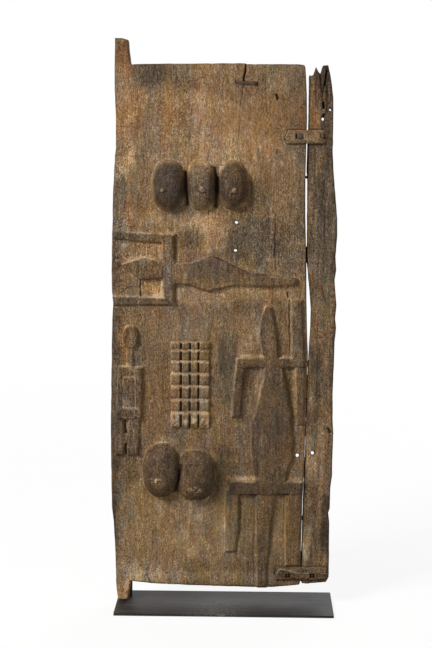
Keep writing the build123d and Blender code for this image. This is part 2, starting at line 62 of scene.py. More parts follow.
SIDE = [
    (222.8, 1418), (234, 1424), (240.6, 1445), (247, 1433), (252, 1427), (257, 1445.7), (258.5, 1449.6),
    (273, 1449.6), (278, 1429), (283.4, 1394.6), (287.1, 1364.5), (287.9, 1282), (286.9, 1216), (291, 1153),
    (296.5, 1095), (300.4, 1045), (300.8, 994.5), (296.9, 947), (299.1, 909.5), (295.1, 883), (299.1, 830),
    (300.5, 816), (297.7, 776), (300.6, 755), (296.9, 717), (295.9, 664), (293.5, 605), (293, 513),
    (295.8, 473), (293.9, 424), (292.9, 354), (288.7, 324), (287.9, 267), (284, 256), (286.6, 231),
    (287.1, 171.5), (287.2, 109), (286.7, 78.6), (279, 65.3), (228, 61.7), (213.3, 62.5), (212.9, 110.5),
    (214, 135), (215.6, 209), (216.8, 290.5), (219, 345), (221.9, 413), (221.1, 453), (222.9, 521),
    (224.8, 620), (226.8, 661), (228.8, 709), (231.4, 749), (232.5, 802.5), (230.5, 829), (225.2, 893),
    (222.2, 962), (222.5, 1055), (223, 1158), (223.4, 1242), (224.2, 1282), (223.8, 1331.5),
]
MAIN_HOLES = [(33.4, 1033.3, 4.5), (31.1, 958.7, 4.5), (199.5, 411.4, 4.8)]
SIDE_HOLES = [(239.8, 418.5, 4.8), (259.6, 1307.6, 4.0), (279.0, 1333.3, 3.6)]
UPPER_CLEAT = [(160, 1261), (169, 1279.5), (270.5, 1279.5), (271, 1242.5), (164, 1242.5)]
LOWER_CLEAT = [(140.5, 91), (144, 109.5), (281, 110), (281.5, 74), (143, 72)]

# Raised figures: outline, height, tone of the worn top.
LYING_LIZARD = [
    ([(-296, 1010), (-125.5, 1004), (-129, 978), (-165.5, 980), (-239, 985), (-296, 990.5)], 9, -0.16),
    ([(-163, 990), (-126, 1003), (-124, 812), (-160, 828)], 13, -0.14),
    ([(-296, 836), (-160, 834), (-122, 828), (-122, 815), (-296, 813)], 9, -0.14),
    ([(-271, 922), (-241, 933), (-207, 941.5), (-182, 936), (-148, 925), (-148, 886), (-181, 883.5),
      (-220, 883), (-250, 903)], 12, -0.13),
    ([(-150, 925), (-120, 926.5), (-90, 926), (-60, 938), (-28, 941.5), (17, 926), (62, 907), (123, 893.5),
      (197, 884), (192, 870), (116, 865), (43, 868.5), (13, 864.6), (-39.5, 851), (-65, 858), (-87, 868),
      (-150, 873)], 13, -0.14),
]
SMALL_FIGURE = [
    ([(-257, 702), (-236.5, 702), (-236.5, 640), (-257, 640)], 8, -0.12),
    ([(-279, 647.5), (-211.5, 647.5), (-212, 575), (-214, 510), (-220.5, 506), (-286, 506), (-283, 560)],
      12, -0.15),
    ([(-268, 467), (-250, 467), (-250, 438), (-268, 438)], 6, -0.05),
    ([(-289, 526), (-265, 526), (-264, 470), (-265, 434), (-287, 434)], 9, -0.12),
    ([(-252.5, 526), (-219.5, 526), (-222, 434), (-254, 434), (-255, 470)], 9, -0.12),
    ([(-287, 439), (-262, 439), (-262, 409.5), (-284, 409.5)], 11, -0.1),
    ([(-255.5, 439), (-223, 439), (-223, 411), (-256, 409.5)], 11, -0.1),
]
TALL_LIZARD = [
    ([(118.5, 815), (130, 808), (137, 780), (143, 745), (149, 708), (149, 655), (108, 655), (101, 698),
      (95, 740), (100, 772), (110, 812)], 12, -0.2),
    ([(36, 674), (220, 676), (220, 650), (36, 648)], 11, -0.2),
    ([(36, 674), (29, 603), (24, 514.5), (50.5, 514.5), (54.5, 587), (63, 652)], 11, -0.2),
    ([(178, 830), (210, 830), (219, 676), (219, 655), (180, 655)], 10, -0.2),
    ([(191, 660), (221, 660), (217, 494), (197, 494)], 6, -0.16),
    ([(113.5, 665), (100.5, 587), (84.5, 518), (73, 491), (76, 422), (82.5, 366), (88, 325), (168, 325),
      (175, 371.5), (190, 402), (191, 440), (184, 528), (173, 587.5), (158, 665)], 9.5, -0.18),
    ([(17, 341), (216, 342), (214, 305), (17, 303)], 11, -0.22),
    ([(5.5, 320), (45, 320), (44.5, 200), (39, 150), (6, 147)], 8, -0.06),
    ([(168, 320), (213, 320), (209, 113), (169, 112)], 8, -0.08),
    ([(88, 325), (146, 325), (134, 242), (128.5, 170), (123, 115), (122, 44), (93.5, 44), (90.5, 180)],
      6.5, -0.1),
]
SMALL_HEAD = (-246, 727, 21.5, 33)
SMALL_FACE = ([(-247, 738), (-246, 715)], [(-256, 728), (-236, 727)])
RELIEFS = LYING_LIZARD + SMALL_FIGURE + TALL_LIZARD

# Breasts: left, right, top, bottom, nipple, height, and how square the left side, right side and ends are.
UPPER_BREASTS = [
    (-192, -102, 1199, 1062, (-161, 1120), 40, 2.1, 2.6, 2.1),
    (-98, -24, 1199, 1065, (-57, 1124), 37, 2.8, 2.8, 2.2),
    (-14, 66, 1199, 1067, (28, 1120), 40, 2.7, 2.0, 2.1),
]
LOWER_BREASTS = [
    (-216, -113, 445, 294, (-176, 347), 40, 2.1, 2.3, 2.2),
    (-118.5, -21.5, 426, 288, (-72, 324), 40, 3.2, 2.6, 2.8),
]
# Deep notches between neighbours, filled with painted shade: line, half width.
NOTCHES = [
    ([(-101, 1166), (-99, 1130), (-96, 1084)], 5.0),
    ([(-24, 1178), (-20, 1145), (-20, 1110), (-22, 1078)], 4.6), ([(-18.5, 1150), (-18, 1118)], 8.0),
    ([(-111, 386), (-117, 348), (-126, 314)], 4.0),
]
# Lumps and pale marks on the breasts: centre, radius, height, tone.
LUMPS = [
    (-69, 1111, 6, 1.5, 0.2), (-50, 1119, 4, 1.0, 0.2), (11, 1129, 4.5, 1.8, 0.24), (2, 1160, 6, 0.8, 0.2),
    (-5, 1178, 6, 0.6, 0.2), (6, 1146, 4, 0.6, 0.16), (-82, 1176, 12, 0.4, 0.1), (-60, 1180, 16, 0.4, 0.08),
    (-42, 1188, 9, 0, 0.3), (-35, 1172, 8, 0, 0.16), (-146, 440, 15, 0, 0.14), (-30, 400, 15, 0, 0.12),
    (-24, 360, 14, 0, 0.1),
]
# How the two kinds look: how softly they meet the plank, how soft and how ragged the rim of
# the worn top is, the top's tone, and where the pale rim lies and its tone.
UPPER_LOOK = (7.0, 0.42, 0.07, 0.17, 1.1, 0.1)
LOWER_LOOK = (5.0, 0.14, 0.04, 0.28, 1.0, 0.16)
# The upper nipples, by x: radius, tone, and how worn the breast is.
NIPPLES = {-161: (7.5, 0.66, 1.0), -57: (9.0, 0.5, 0.5), 28: (9.0, 0.62, 1.0)}

# The grid: left and right of its columns, edges of its rows, and the slots (x, half width).
GRID_COLUMNS = [(-139, -114.6), (-109.6, -90.2), (-86, -67.4), (-63, -36)]
GRID_ROWS = [717, 695, 665.5, 633, 599, 562.5, 528.5, 484]
GRID_SLOTS = [(-112, 2.6), (-88.1, 2.1), (-65.2, 2.5)]

# Ground cut away between limbs and body: outline, depth.
HOLLOWS = [
    ([(52, 646), (100, 646), (84, 585), (66, 520), (52, 520)], 3.5),
    ([(160, 648), (190, 648), (194, 500), (186, 470), (182, 530)], 4),
    ([(-292, 984), (-166, 978), (-166, 936), (-207, 946), (-292, 926)], 2.5),
    ([(-222, 880), (-164, 880), (-164, 838), (-220, 838)], 2.5),
    ([(48, 303), (88, 303), (90, 200), (46, 200)], 3),
    ([(146, 303), (176, 303), (176, 180), (132, 180)], 2.5),
    ([(150, 828), (178, 828), (179, 678), (152, 678)], 3),
]

# Cracks, cuts and dark lines at the feet of figures, with painted shade in them: line, half width, depth,
# darkness.
GROOVES = [
    ([(57, 1462), (53.5, 1420), (51.5, 1402)], 2.6, 22, 1.0),
    ([(51.5, 1402), (47, 1372), (44, 1344)], 1.6, 4, 0.5),
    ([(44, 1344), (42, 1300), (39.5, 1252)], 1.3, 2, 0.25), ([(139, 1031), (136, 1000)], 1.5, 3, 0.4),
    ([(136, 1004), (137, 978), (135, 945)], 1.8, 6, 0.85), ([(139, 950), (138, 905)], 1.5, 3, 0.5),
    ([(146, 1000), (147, 960)], 1.4, 2, 0.3), ([(126, 985), (128, 940)], 1.4, 2, 0.3),
    ([(140, 860), (139, 829)], 1.4, 2, 0.3), ([(138.5, 1371), (141, 1360)], 3.2, 12, 1.0),
    ([(30.6, 1409), (31, 1400)], 1.7, 6, 1.0), ([(86.6, 1402), (87, 1395)], 2.0, 6, 1.0),
    ([(168, 847), (170.5, 835)], 2.6, 9, 1.0), ([(-222, 880), (-221, 860), (-219, 838)], 2.0, 7, 0.9),
    ([(-270, 846), (-257, 857), (-245, 861.5), (-223, 860)], 1.8, 3, 0.6),
    ([(46, 305), (68, 306), (91, 305)], 2.2, 7, 1.0), ([(146, 307), (176, 307)], 2.2, 7, 1.0),
    ([(175.5, 829), (176, 760), (177, 678)], 2.4, 5, 0.8), ([(38, 647), (58, 646), (92, 647)], 1.9, 4, 0.7),
    ([(162, 648), (188, 648)], 1.9, 4, 0.7), ([(47, 302), (47, 240), (46, 200)], 3.2, 4, 0.6),
    ([(19, 342), (19.5, 306)], 5.5, 3, 0.75), ([(-262, 500), (-260.5, 485), (-259, 470)], 3.4, 8, 0.9),
    ([(-259.5, 440), (-259, 412)], 2.6, 8, 1.0),
    ([(-14, 707), (-6, 650), (4, 590), (20, 512)], 1.5, 1.2, 0.35),
    ([(60, 1213), (76, 1186)], 1.6, 1.2, 0.4),
    ([(-119, 929), (-99, 928), (-82, 932), (-59, 937), (-29, 942), (6, 929), (37, 913.5), (73, 900),
      (126, 893.5), (194, 885)], 2.1, 1.2, 0.85),
    ([(139, 1060), (138, 1040), (136, 1012)], 1.6, 2, 0.5),
    ([(137, 950), (139, 925), (137, 905)], 1.7, 2.5, 0.55),
    ([(121, 1012), (123, 985), (122, 950)], 1.5, 1.2, 0.3), ([(-203, 84), (-193, 60)], 2.0, 5, 0.8),
    ([(-66.5, 1149), (-55, 1151), (-43, 1145)], 1.5, 1.4, 0.6),
    ([(-62, 1136), (-50, 1136)], 1.5, 1.2, 0.55), ([(-66, 1122), (-60, 1114)], 1.5, 1.4, 0.6),
    ([(37, 134), (64, 87)], 1.5, 2, 0.5), ([(-227, 264), (-206, 237)], 1.5, 1.5, 0.3),
    ([(86, 298), (84, 180), (86.5, 50)], 1.6, 3, 0.6), ([(166, 296), (164, 180), (166, 116)], 1.6, 3, 0.4),
]
# Painted highlights, pale lines along edges of the figures that face the light: line, half width, tone.
HIGHLIGHT_LINES = [
    ([(-277, 1007), (-218, 1005), (-128, 1000)], 2.4, 0.14),
    ([(-271, 923), (-211, 942), (-152, 926)], 2.2, 0.17), ([(-292, 837), (-255, 836)], 2.6, 0.4),
    ([(-255, 836), (-154, 834)], 2.4, 0.18), ([(45, 679), (109, 679)], 3.6, 0.36),
    ([(142, 678), (182, 677)], 3.4, 0.16), ([(50, 708), (37, 672), (32, 619)], 2.4, 0.24),
    ([(157, 651), (190, 651)], 1.8, 0.3), ([(102, 654), (88, 590), (74, 523)], 3.6, 0.14),
    ([(110, 811), (97, 765)], 2.0, 0.22), ([(-262, 754), (-246, 758), (-229, 755)], 3.0, 0.18),
    ([(-270, 649), (-213, 649)], 2.4, 0.22), ([(-259, 656), (-235, 656)], 2.4, 0.16),
    ([(-264, 538), (-225, 536)], 4.0, 0.3), ([(-285, 433), (-264, 433)], 2.2, 0.22),
    ([(-258, 432), (-222, 433)], 2.2, 0.22), ([(14, 349), (96, 349)], 6.0, 0.32),
    ([(162, 349), (206, 349)], 6.0, 0.18), ([(16, 290), (15, 215), (12, 156)], 4.0, 0.1),
]
# Lines that hold the framed chest of the small figure.
CHEST = [(-267, 540), (-268, 622), (-236, 622), (-235, 540)]

# Patches of patina (negative) and of bare worn wood (positive): centre, radii, tone. The pale ones below
# the upper breasts and right of the grid are painted light, lifting the shade there.
PATCHES = [
    # Pegs and left edge.
    (-268, 30, 26, 34, 0.34), (-268, 1480, 40, 40, -0.21), (-288, 700, 20, 560, -0.09),
    (-265, 1330, 26, 160, 0.14), (-285, 1190, 14, 50, 0.12), (-252, 1186, 20, 26, 0.14),
    (-283, 900, 16, 60, -0.12), (-285, 838, 12, 24, 0.16), (-280, 560, 18, 190, -0.1),
    (-265, 380, 26, 60, -0.12), (-290, 300, 12, 200, -0.1), (-276, 445, 14, 26, 0.12),
    (-293, 210, 7, 125, -0.26),
    # Top.
    (-10, 1300, 190, 150, 0.17), (40, 1220, 90, 60, 0.08), (-95, 1385, 90, 40, 0.06),
    (-192, 1425, 58, 34, -0.22), (-100, 1402, 30, 22, -0.18), (-104, 1335, 20, 90, -0.12),
    (60, 1400, 120, 40, -0.13), (120, 1330, 90, 80, -0.09), (195, 1320, 30, 120, -0.1),
    (152, 1402, 34, 34, 0.18),
    # About the upper breasts.
    (85, 1130, 40, 60, -0.14), (60, 1170, 30, 20, 0.1), (204, 1212, 12, 22, -0.18),
    (207, 1075, 12, 34, -0.16), (-150, 1082, 34, 16, 0.14), (-75, 1086, 44, 14, 0.18),
    (45, 1086, 14, 12, 0.24), (195, 1160, 30, 100, 0.06),
    # Lying lizard.
    (-215, 1045, 50, 24, 0.12), (-110, 1040, 90, 36, 0.13), (-86, 985, 30, 30, -0.24),
    (-30, 1015, 50, 50, 0.2), (108, 985, 98, 66, -0.11, 4.0), (-225, 960, 60, 30, 0.12),
    (-147, 905, 9, 95, 0.12), (-190, 858, 26, 20, 0.22), (-120, 915, 24, 36, 0.14),
    (-60, 964, 50, 11, 0.14), (140, 940, 60, 14, 0.08), (-30, 845, 150, 30, 0.17), (165, 855, 55, 25, 0.1),
    (50, 816, 34, 26, -0.1),
    # Small figure and grid.
    (-239, 700, 14, 26, 0.14), (-272, 620, 20, 34, 0.14), (-272, 552, 16, 18, 0.3),
    (-239, 628, 16, 18, 0.16), (-175, 520, 26, 160, -0.04), (-35, 620, 30, 250, -0.05),
    (-75, 750, 90, 46, 0.1), (10, 668, 32, 94, -0.15), (-22, 650, 12, 60, 0.16),
    # Tall lizard.
    (60, 735, 45, 55, 0.1), (192, 700, 13, 105, 0.22), (126, 705, 14, 62, 0.17), (171, 604, 14, 60, -0.12),
    (70, 600, 14, 40, -0.12), (76, 400, 14, 44, -0.12), (152, 190, 16, 70, 0.14),
    (150, 200, 90, 150, -0.05), (135, 230, 14, 44, -0.1),
    # Lower breasts.
    (-150, 452, 44, 12, 0.14), (-240, 365, 16, 30, -0.12), (-48, 280, 20, 14, 0.1),
    (10, 340, 28, 70, -0.24), (-15, 425, 26, 16, -0.1),
    # Bottom.
    (-190, 190, 120, 150, 0.12), (-30, 200, 70, 90, 0.12), (-243, 88, 66, 36, 0.22),
    (-40, 76, 200, 18, 0.12),
    # Side plank.
    (252, 1170, 36, 115, -0.15), (243, 1305, 12, 40, 0.16), (260, 1428, 26, 28, -0.2),
    (255, 400, 30, 110, 0.14), (281, 225, 15, 95, -0.32), (224, 178, 12, 46, 0.36),
    (218, 130, 12, 40, 0.12),
]
# Warm (positive) and cool (negative) places.
REDS = [
    (-150, 1330, 12, 130, 0.6), (-264, 1470, 26, 60, 0.9), (-252, 1290, 34, 115, 0.5),
    (40, 1290, 150, 90, 0.35), (200, 1290, 14, 40, 0.5), (110, 1180, 60, 60, 0.2),
    (-185, 1420, 50, 30, -0.6), (-100, 1440, 30, 20, -0.6), (180, 1420, 40, 30, -0.5),
    (-150, 1120, 32, 60, -0.8), (-60, 1130, 30, 30, -0.5), (30, 1125, 24, 24, -0.4),
    (-285, 1110, 20, 110, -0.7), (-230, 1060, 50, 36, 0.6), (-280, 980, 18, 60, -0.8),
    (-190, 965, 50, 16, 0.4), (-195, 858, 24, 16, 0.35), (-30, 1010, 42, 60, 0.6),
    (112, 985, 105, 64, -0.55), (45, 1015, 44, 40, -0.6), (-82, 990, 25, 24, -0.6),
    (-148, 905, 11, 100, -0.7), (-230, 997, 60, 9, -0.4), (-230, 828, 60, 9, -0.5),
    (-40, 922, 68, 30, -0.7), (150, 860, 60, 30, 0.3), (-270, 710, 18, 60, 0.5), (-285, 600, 16, 180, -0.8),
    (-240, 610, 24, 90, -0.3), (-195, 560, 40, 150, 0.25), (-112, 560, 40, 60, 0.3),
    (10, 640, 34, 100, -0.5), (40, 790, 60, 30, -0.4), (130, 560, 40, 110, -0.5), (122, 740, 22, 70, -0.6),
    (200, 740, 16, 90, -0.6), (90, 322, 100, 22, -0.5), (-150, 452, 60, 16, -0.3), (-60, 440, 50, 16, -0.2),
    (-280, 245, 26, 135, -0.8), (-150, 200, 120, 110, 0.3), (-50, 230, 280, 150, -0.12),
    (60, 190, 60, 60, -0.3), (-268, 30, 26, 44, 0.75), (240, 1320, 12, 50, 0.5), (276, 1370, 12, 90, -0.8),
    (255, 1290, 26, 20, 0.5), (268, 1030, 36, 200, -1.8), (255, 620, 34, 150, -0.3),
    (280, 330, 20, 90, -0.5), (265, 420, 30, 80, 0.2), (266, 40, 20, 30, 0.3),
]
# Pink to purple (positive) and olive (negative) places.
ROSY = [
    (240, 1372, 10, 46, 0.8), (276, 1370, 10, 80, 0.3), (-88, 600, 50, 110, -0.1), (-10, 425, 30, 18, 0.5),
    (10, 640, 34, 100, -0.3), (-57, 1124, 10, 10, 0.8), (31, 1123, 10, 10, 0.8), (-8, 372, 24, 60, -0.5),
    (113, 1430, 36, 26, -0.5), (-268, 905, 18, 34, 0.7), (-40, 930, 60, 20, 0.4), (-148, 905, 10, 90, 0.25),
    (-50, 230, 280, 150, -0.16), (-30, 1330, 230, 110, 0.15), (105, 1000, 110, 90, -0.2),
    (50, 240, 26, 70, -0.3), (180, 560, 12, 120, -0.4), (-105, 1320, 16, 90, -0.25),
    (-60, 1080, 60, 20, -0.25),
]
# Coarser (positive) and smoother (negative) places.
GRIT = [
    (-282, 900, 24, 330, 0.3), (-225, 930, 70, 110, 0.2), (100, 1000, 110, 120, 0.3),
    (-255, 620, 40, 190, 0.2), (40, 1300, 110, 80, -0.22), (-50, 230, 260, 130, -0.2),
    (130, 470, 60, 130, -0.2), (-110, 1330, 24, 90, 0.2),
]
# Fields of fine scratches: direction, ellipse as above, seed.
SCRATCHES = [
    (0.5, (-120, 190, 110, 120, 1), 61), (-0.6, (-60, 240, 80, 90, 1), 62),
    (0.9, (90, 1330, 120, 70, 1), 63),
]
BARE_WOOD = 0.515


# ---------------------------------------------------------------- distances and noise

FAR = 1e9
TINY = 1e-9
REACH = 30.0
TABLE = 256


def nearby(points, x, z, reach):
    """Which places lie within reach of the points' box."""
    low, high = points.min(0) - reach, points.max(0) + reach
    return (x > low[0]) & (x < high[0]) & (z > low[1]) & (z < high[1])


def segment_distance(a, b, x, z):
    """Distance to the straight line from a to b."""
    (ax, az), (dx, dz) = a, b - a
    along = np.clip(((x - ax) * dx + (z - az) * dz) / (dx * dx + dz * dz), 0, 1)
    return np.hypot(x - ax - along * dx, z - az - along * dz)


def outline_distance(outline, x, z):
    """Distance to a closed outline, positive inside, and no lower than -REACH."""
    result = np.full(x.shape, -REACH)
    points = np.array(outline, float)
    near = nearby(points, x, z, REACH)
    px, pz = x[near], z[near]
    best = np.full(px.shape, FAR)
    inside = np.zeros(px.shape, bool)
    for a, b in zip(points, np.roll(points, -1, 0)):
        best = np.minimum(best, segment_distance(a, b, px, pz))
        crosses = (a[1] > pz) != (b[1] > pz)
        inside ^= crosses & (px < a[0] + (pz - a[1]) * (b[0] - a[0]) / ((b[1] - a[1]) or TINY))
    result[near] = np.maximum(np.where(inside, best, -best), -REACH)
    return result


def line_distance(line, x, z, reach=12.0):
    """Distance to an open line, and no more than reach."""
    result = np.full(x.shape, reach)
    points = np.array(line, float)
    near = nearby(points, x, z, reach)
    px, pz = x[near], z[near]
    for a, b in zip(points, points[1:]):
        result[near] = np.minimum(result[near], segment_distance(a, b, px, pz))
    return result


def noise(x, z, width, height, seed):
    """Smooth random values from -1 to 1, with a new one every width by height."""
    table = np.random.default_rng(seed).uniform(-1, 1, (TABLE, TABLE))
    u = x / width + 500.3
    v = z / height + 500.7
    i, j = np.floor(u).astype(int), np.floor(v).astype(int)
    fu, fv = (t * t * (3 - 2 * t) for t in (u - i, v - j))
    a, b = (
        table[i % TABLE, k % TABLE] * (1 - fu) + table[(i + 1) % TABLE, k % TABLE] * fu
        for k in (j, j + 1)
    )
    return a * (1 - fv) + b * fv


def noises(x, z, *layers):
    """A sum of noises, each given as amount, width, height and seed."""
    return sum(amount * noise(x, z, width, height, seed) for amount, width, height, seed in layers)


def smooth(value):
    """0 below 0, 1 above 1, and a smooth step between."""
    t = np.clip(value, 0, 1)
    return t * t * (3 - 2 * t)


def fade(distance, width):
    """1 at distance 0, falling evenly to 0 at width."""
    return np.clip(1 - distance / width, 0, 1)


def band(value, middle, width):
    """1 where the value is at the middle, falling to 0 at width to both sides."""
    return fade(np.abs(value - middle), width)


def everywhere(value):
    """The same value at all places."""
    return lambda x, z: np.full(x.shape, value)


NO_CONTOUR = everywhere(-FAR)


def darken(shade, amount):
    """Where the amount is larger than the shade, it takes its place."""
    np.maximum(shade, amount, out=shade)


def patches(spots, x, z):
    """Sum of soft ellipses, their rims broken up by noise."""
    ragged = noises(x, z, (0.35, 24, 34, 91), (0.25, 9, 14, 92))
    total = np.zeros(x.shape)
    for cx, cz, rx, rz, amount, *sharp in spots:
        r = np.hypot((x - cx) / rx, (z - cz) / rz) + ragged
        total += amount * (smooth((1.15 - r) * sharp[0]) if sharp else smooth(1.5 - r))
    return total


# ---------------------------------------------------------------- meshes

# The corners of a cell, the middles of its sides in half cells, and the cells around it.
CORNERS = ((0, 0), (1, 0), (1, 1), (0, 1))
SIDES = ((1, 0), (2, 1), (1, 2), (0, 1))
AROUND = ((1, 0), (-1, 0), (0, 1), (0, -1), (1, 1), (-1, -1), (1, -1), (-1, 1))


def doubled(mask):
    """Each cell as two by two smaller ones."""
    return np.repeat(np.repeat(mask, 2, 0), 2, 1)


def flat_mesh(bounds, step, outline_at, contour_at, detail_at, coarse):
    """Cells over a region of the (x, z) plane, small at its rim and near detail, larger elsewhere.

    Returns the points, the faces and the directed edges of the rim."""
    x_low, x_high, z_low, z_high = bounds
    nx = math.ceil((x_high - x_low) / (4 * step)) * 4 + 1
    nz = math.ceil((z_high - z_low) / (4 * step)) * 4 + 1
    x, z = np.meshgrid(x_low + step * np.arange(nx), z_low + step * np.arange(nz), indexing="ij")
    edge, contour, detail = (
        at(x.ravel(), z.ravel()).reshape(x.shape) for at in (outline_at, contour_at, detail_at)
    )

    fine = (np.abs(edge) < 2.3 * step) | (detail < 0)
    split = np.zeros(((nx - 1) // 2, (nz - 1) // 2), bool)
    for i in range(3):
        for j in range(3):
            split |= fine[i:i + nx - 2:2, j:j + nz - 2:2]
    grown = split.copy()
    for shift in AROUND:
        grown |= np.roll(split, shift, (0, 1))
    blocks = grown.reshape(grown.shape[0] // 2, 2, grown.shape[1] // 2, 2).any((1, 3))
    if not coarse:
        blocks[:] = True

    # Points beside the rim or a contour move onto it, so that both run clean.
    for field, reach, allowed in ((contour, 0.5, edge > 3.5 * step), (edge, 0.4, True)):
        gx, gz = np.gradient(field, step)
        length = gx * gx + gz * gz
        snap = (np.abs(field) < reach * step) & allowed & (length > 0.25)
        x[snap] -= (field * gx / (length + TINY))[snap]
        z[snap] -= (field * gz / (length + TINY))[snap]
    edge[snap] = 0.0

    inside = edge >= 0
    leaves = []
    used = np.zeros(x.shape, bool)
    for mask, size in ((doubled(split), 1), (doubled(blocks) & ~split, 2), (~blocks, 4)):
        i, j = (place * size for place in np.nonzero(mask))
        if size > 1:
            whole = inside[i + size // 2, j + size // 2]
        else:
            count = sum(inside[i + a, j + b].astype(int) for a, b in CORNERS)
            whole = count == 4
            partly = (count > 0) & (count < 4)
            mixed = list(zip(i[partly], j[partly]))
        i, j = i[whole], j[whole]
        leaves.append((i, j, size))
        for a, b in CORNERS:
            used[i + a * size, j + b * size] = True
    for i, j in mixed:
        for a, b in CORNERS:
            used[i + a, j + b] |= inside[i + a, j + b]

    index = np.full(x.shape, -1)
    index[used] = np.arange(used.sum())
    points = list(zip(x[used], z[used]))
    quads, others = [], []
    for i, j, size in leaves:
        corners = np.stack([index[i + a * size, j + b * size] for a, b in CORNERS], 1)
        if size == 1:
            quads.append(corners)
            continue
        half = size // 2
        mids = np.stack([index[i + a * half, j + b * half] for a, b in SIDES], 1)
        plain = (mids < 0).all(1)
        quads.append(corners[plain])
        rings = np.stack([corners, mids], 2)[~plain].reshape(-1, 8)
        others += [ring[ring >= 0].tolist() for ring in rings]
    cuts = {}

    def cut(a, b):
        """The point where the rim crosses from a to b."""
        if (a, b) not in cuts:
            t = edge[a] / (edge[a] - edge[b])
            cuts[a, b] = len(points)
            points.append((x[a] + t * (x[b] - x[a]), z[a] + t * (z[b] - z[a])))
        return cuts[a, b]

    for i, j in mixed:
        ring = [(i + a, j + b) for a, b in CORNERS]
        face = []
        for a, b in zip(ring, ring[1:] + ring[:1]):
            if inside[a]:
                face.append(int(index[a]))
                if not inside[b] and edge[a] > 0:
                    face.append(cut(a, b))
            elif inside[b] and edge[b] > 0:
                face.append(cut(b, a))
        if len(face) > 2:
            others.append(face)

    quads = np.concatenate(quads)
    directed = [np.stack([quads[:, k], quads[:, (k + 1) % 4]], 1) for k in range(4)]
    directed.append(np.array([pair for face in others for pair in zip(face, face[1:] + face[:1])]))
    start, end = np.concatenate(directed).T
    count = len(points)
    on_rim = ~np.isin(end * count + start, start * count + end)
    return np.array(points), quads.tolist() + others, np.stack([start, end], 1)[on_rim]


def slab(
    name, bounds, step, outline_at, contour_at, detail_at, face, back, wall, rings, drop=everywhere(0.0),
):
    """A thick piece of wood: a worked face, a plain back and a rim wall between them.

    The drop says how far what lies at the back has sunk, for holes that lean."""
    front_points, front_faces, rim = flat_mesh(bounds, step, outline_at, contour_at, detail_at, False)
    back_points, back_faces, _ = flat_mesh(bounds, step, outline_at, NO_CONTOUR, everywhere(FAR), True)
    y_front, *front_marks = face(*front_points.T)
    y_back, *back_marks = back(*back_points.T)
    count = len(front_points)
    total = count + len(back_points)
    faces = front_faces + [[count + k for k in reversed(corners)] for corners in back_faces]

    # The outward direction at each point of the rim, and the point of the back behind it.
    on_rim = np.unique(rim)
    at = front_points[on_rim]
    run = front_points[rim[:, 1]] - front_points[rim[:, 0]]
    normal = np.zeros((count, 2))
    for end in rim.T:
        np.add.at(normal, end, np.stack([run[:, 1], -run[:, 0]], 1))
    normal = normal[on_rim]
    normal /= np.linalg.norm(normal, axis=1)[:, None] + TINY
    key = lambda point: (round(point[0], 4), round(point[1], 4))
    places = {key(point): k for k, point in enumerate(back_points)}
    behind = np.array([places.get(key(point), -1) for point in at])
    for k in np.nonzero(behind < 0)[0]:
        behind[k] = np.argmin(np.hypot(*(back_points - at[k]).T))

    layers = [
        (front_points[:, 0], y_front, front_points[:, 1], *front_marks),
        (back_points[:, 0], y_back, back_points[:, 1] - drop(*back_points.T), *back_marks),
    ]
    levels = [on_rim]
    for k in range(1, rings):
        part = k / rings
        y = y_front[on_rim] + (y_back[behind] - y_front[on_rim]) * part
        push, *values = wall(at[:, 0], y, at[:, 1], part)
        x, z = (at + normal * push[:, None]).T
        layers.append((x, y, z - drop(*at.T) * part, *values))
        levels.append(np.arange(total, total + len(on_rim)))
        total += len(on_rim)
    levels.append(behind + count)
    a, b = np.searchsorted(on_rim, rim).T
    for upper, lower in zip(levels, levels[1:]):
        faces += np.stack([upper[b], upper[a], lower[a], lower[b]], 1).tolist()
    x, y, z, *marks = (np.concatenate(column) for column in zip(*layers))
    marks += [patches(spots, x, z) for spots in (ROSY, GRIT)]
    corners = np.stack([x, y, z], 1) * MM
    return piece(name, corners, faces, dict(zip(("tone", "warm", "shade", "rosy", "grit"), marks)))


def add_object(name, data):
    """An object in the scene."""
    made = bpy.data.objects.new(name, data)
    bpy.context.collection.objects.link(made)
    return made


def piece(name, corners, faces, marks=None):
    """A smooth-shaded mesh object with named values at its points."""
    mesh = bpy.data.meshes.new(name)
    mesh.from_pydata(np.asarray(corners).tolist(), [], faces)
    mesh.update()
    mesh.polygons.foreach_set("use_smooth", [True] * len(mesh.polygons))
    for mark, values in (marks or {}).items():
        layer = mesh.attributes.new(mark, "FLOAT", "POINT")
        layer.data.foreach_set("value", np.asarray(values, np.float32))
    return add_object(name, mesh)


# Just under the planks' top edges, how far their rims are worn back, and the depth of the cleats' seats.
TOP = 1440
EDGE_WEAR = 0.6
SEAT = 7


def worn_outline(outline, holes, along_seam, seed):
    """The rim of a plank, worn back a little except along the seam, and round holes."""

    def at(x, z):
        outer = outline_distance(outline, x, z)
        worn = np.where(along_seam(x), 0.0, EDGE_WEAR) * (1 + noise(x, z, 14, 17, seed))
        distance = outer - worn * smooth((outer + 12) / 6)
        for cx, cz, radius in holes:
            distance = np.minimum(distance, np.hypot(x - cx, z - cz) - radius)
        return distance

    return at


def round_over(distance, radius):
    """How far the surface falls away at a rounded edge."""
    t = fade(distance, radius)
    return radius * (1 - np.sqrt(1 - t * t))


def thinned(z):
    """How far the pegs' faces lie back towards their ends."""
    return 2 * np.clip((z - TOP) / 82, 0, 1) + 5 * np.clip((72 - z) / 64, 0, 1)


def seats_and_holes(x, z, height, shade, holes, upper_shade):
    """The seats of the cleats, with painted shade around them, and the worn rims of the holes, darkened
    around them; cut into the height and the shade.
    """
    for cleat, amount in ((UPPER_CLEAT, upper_shade), (LOWER_CLEAT, 0.35)):
        d = outline_distance(cleat, x, z)
        height -= SEAT * smooth((d - 0.6) / 1.2)
        darken(shade, amount * smooth((d + 1.6) / 1.8))
    for cx, cz, radius in holes:
        r = np.hypot(x - cx, z - cz) - radius
        height -= 1.2 * fade(r, 2)
        darken(shade, 0.7 * np.clip(1.2 - r / 3.5, 0, 1))


# ---------------------------------------------------------------- the main plank


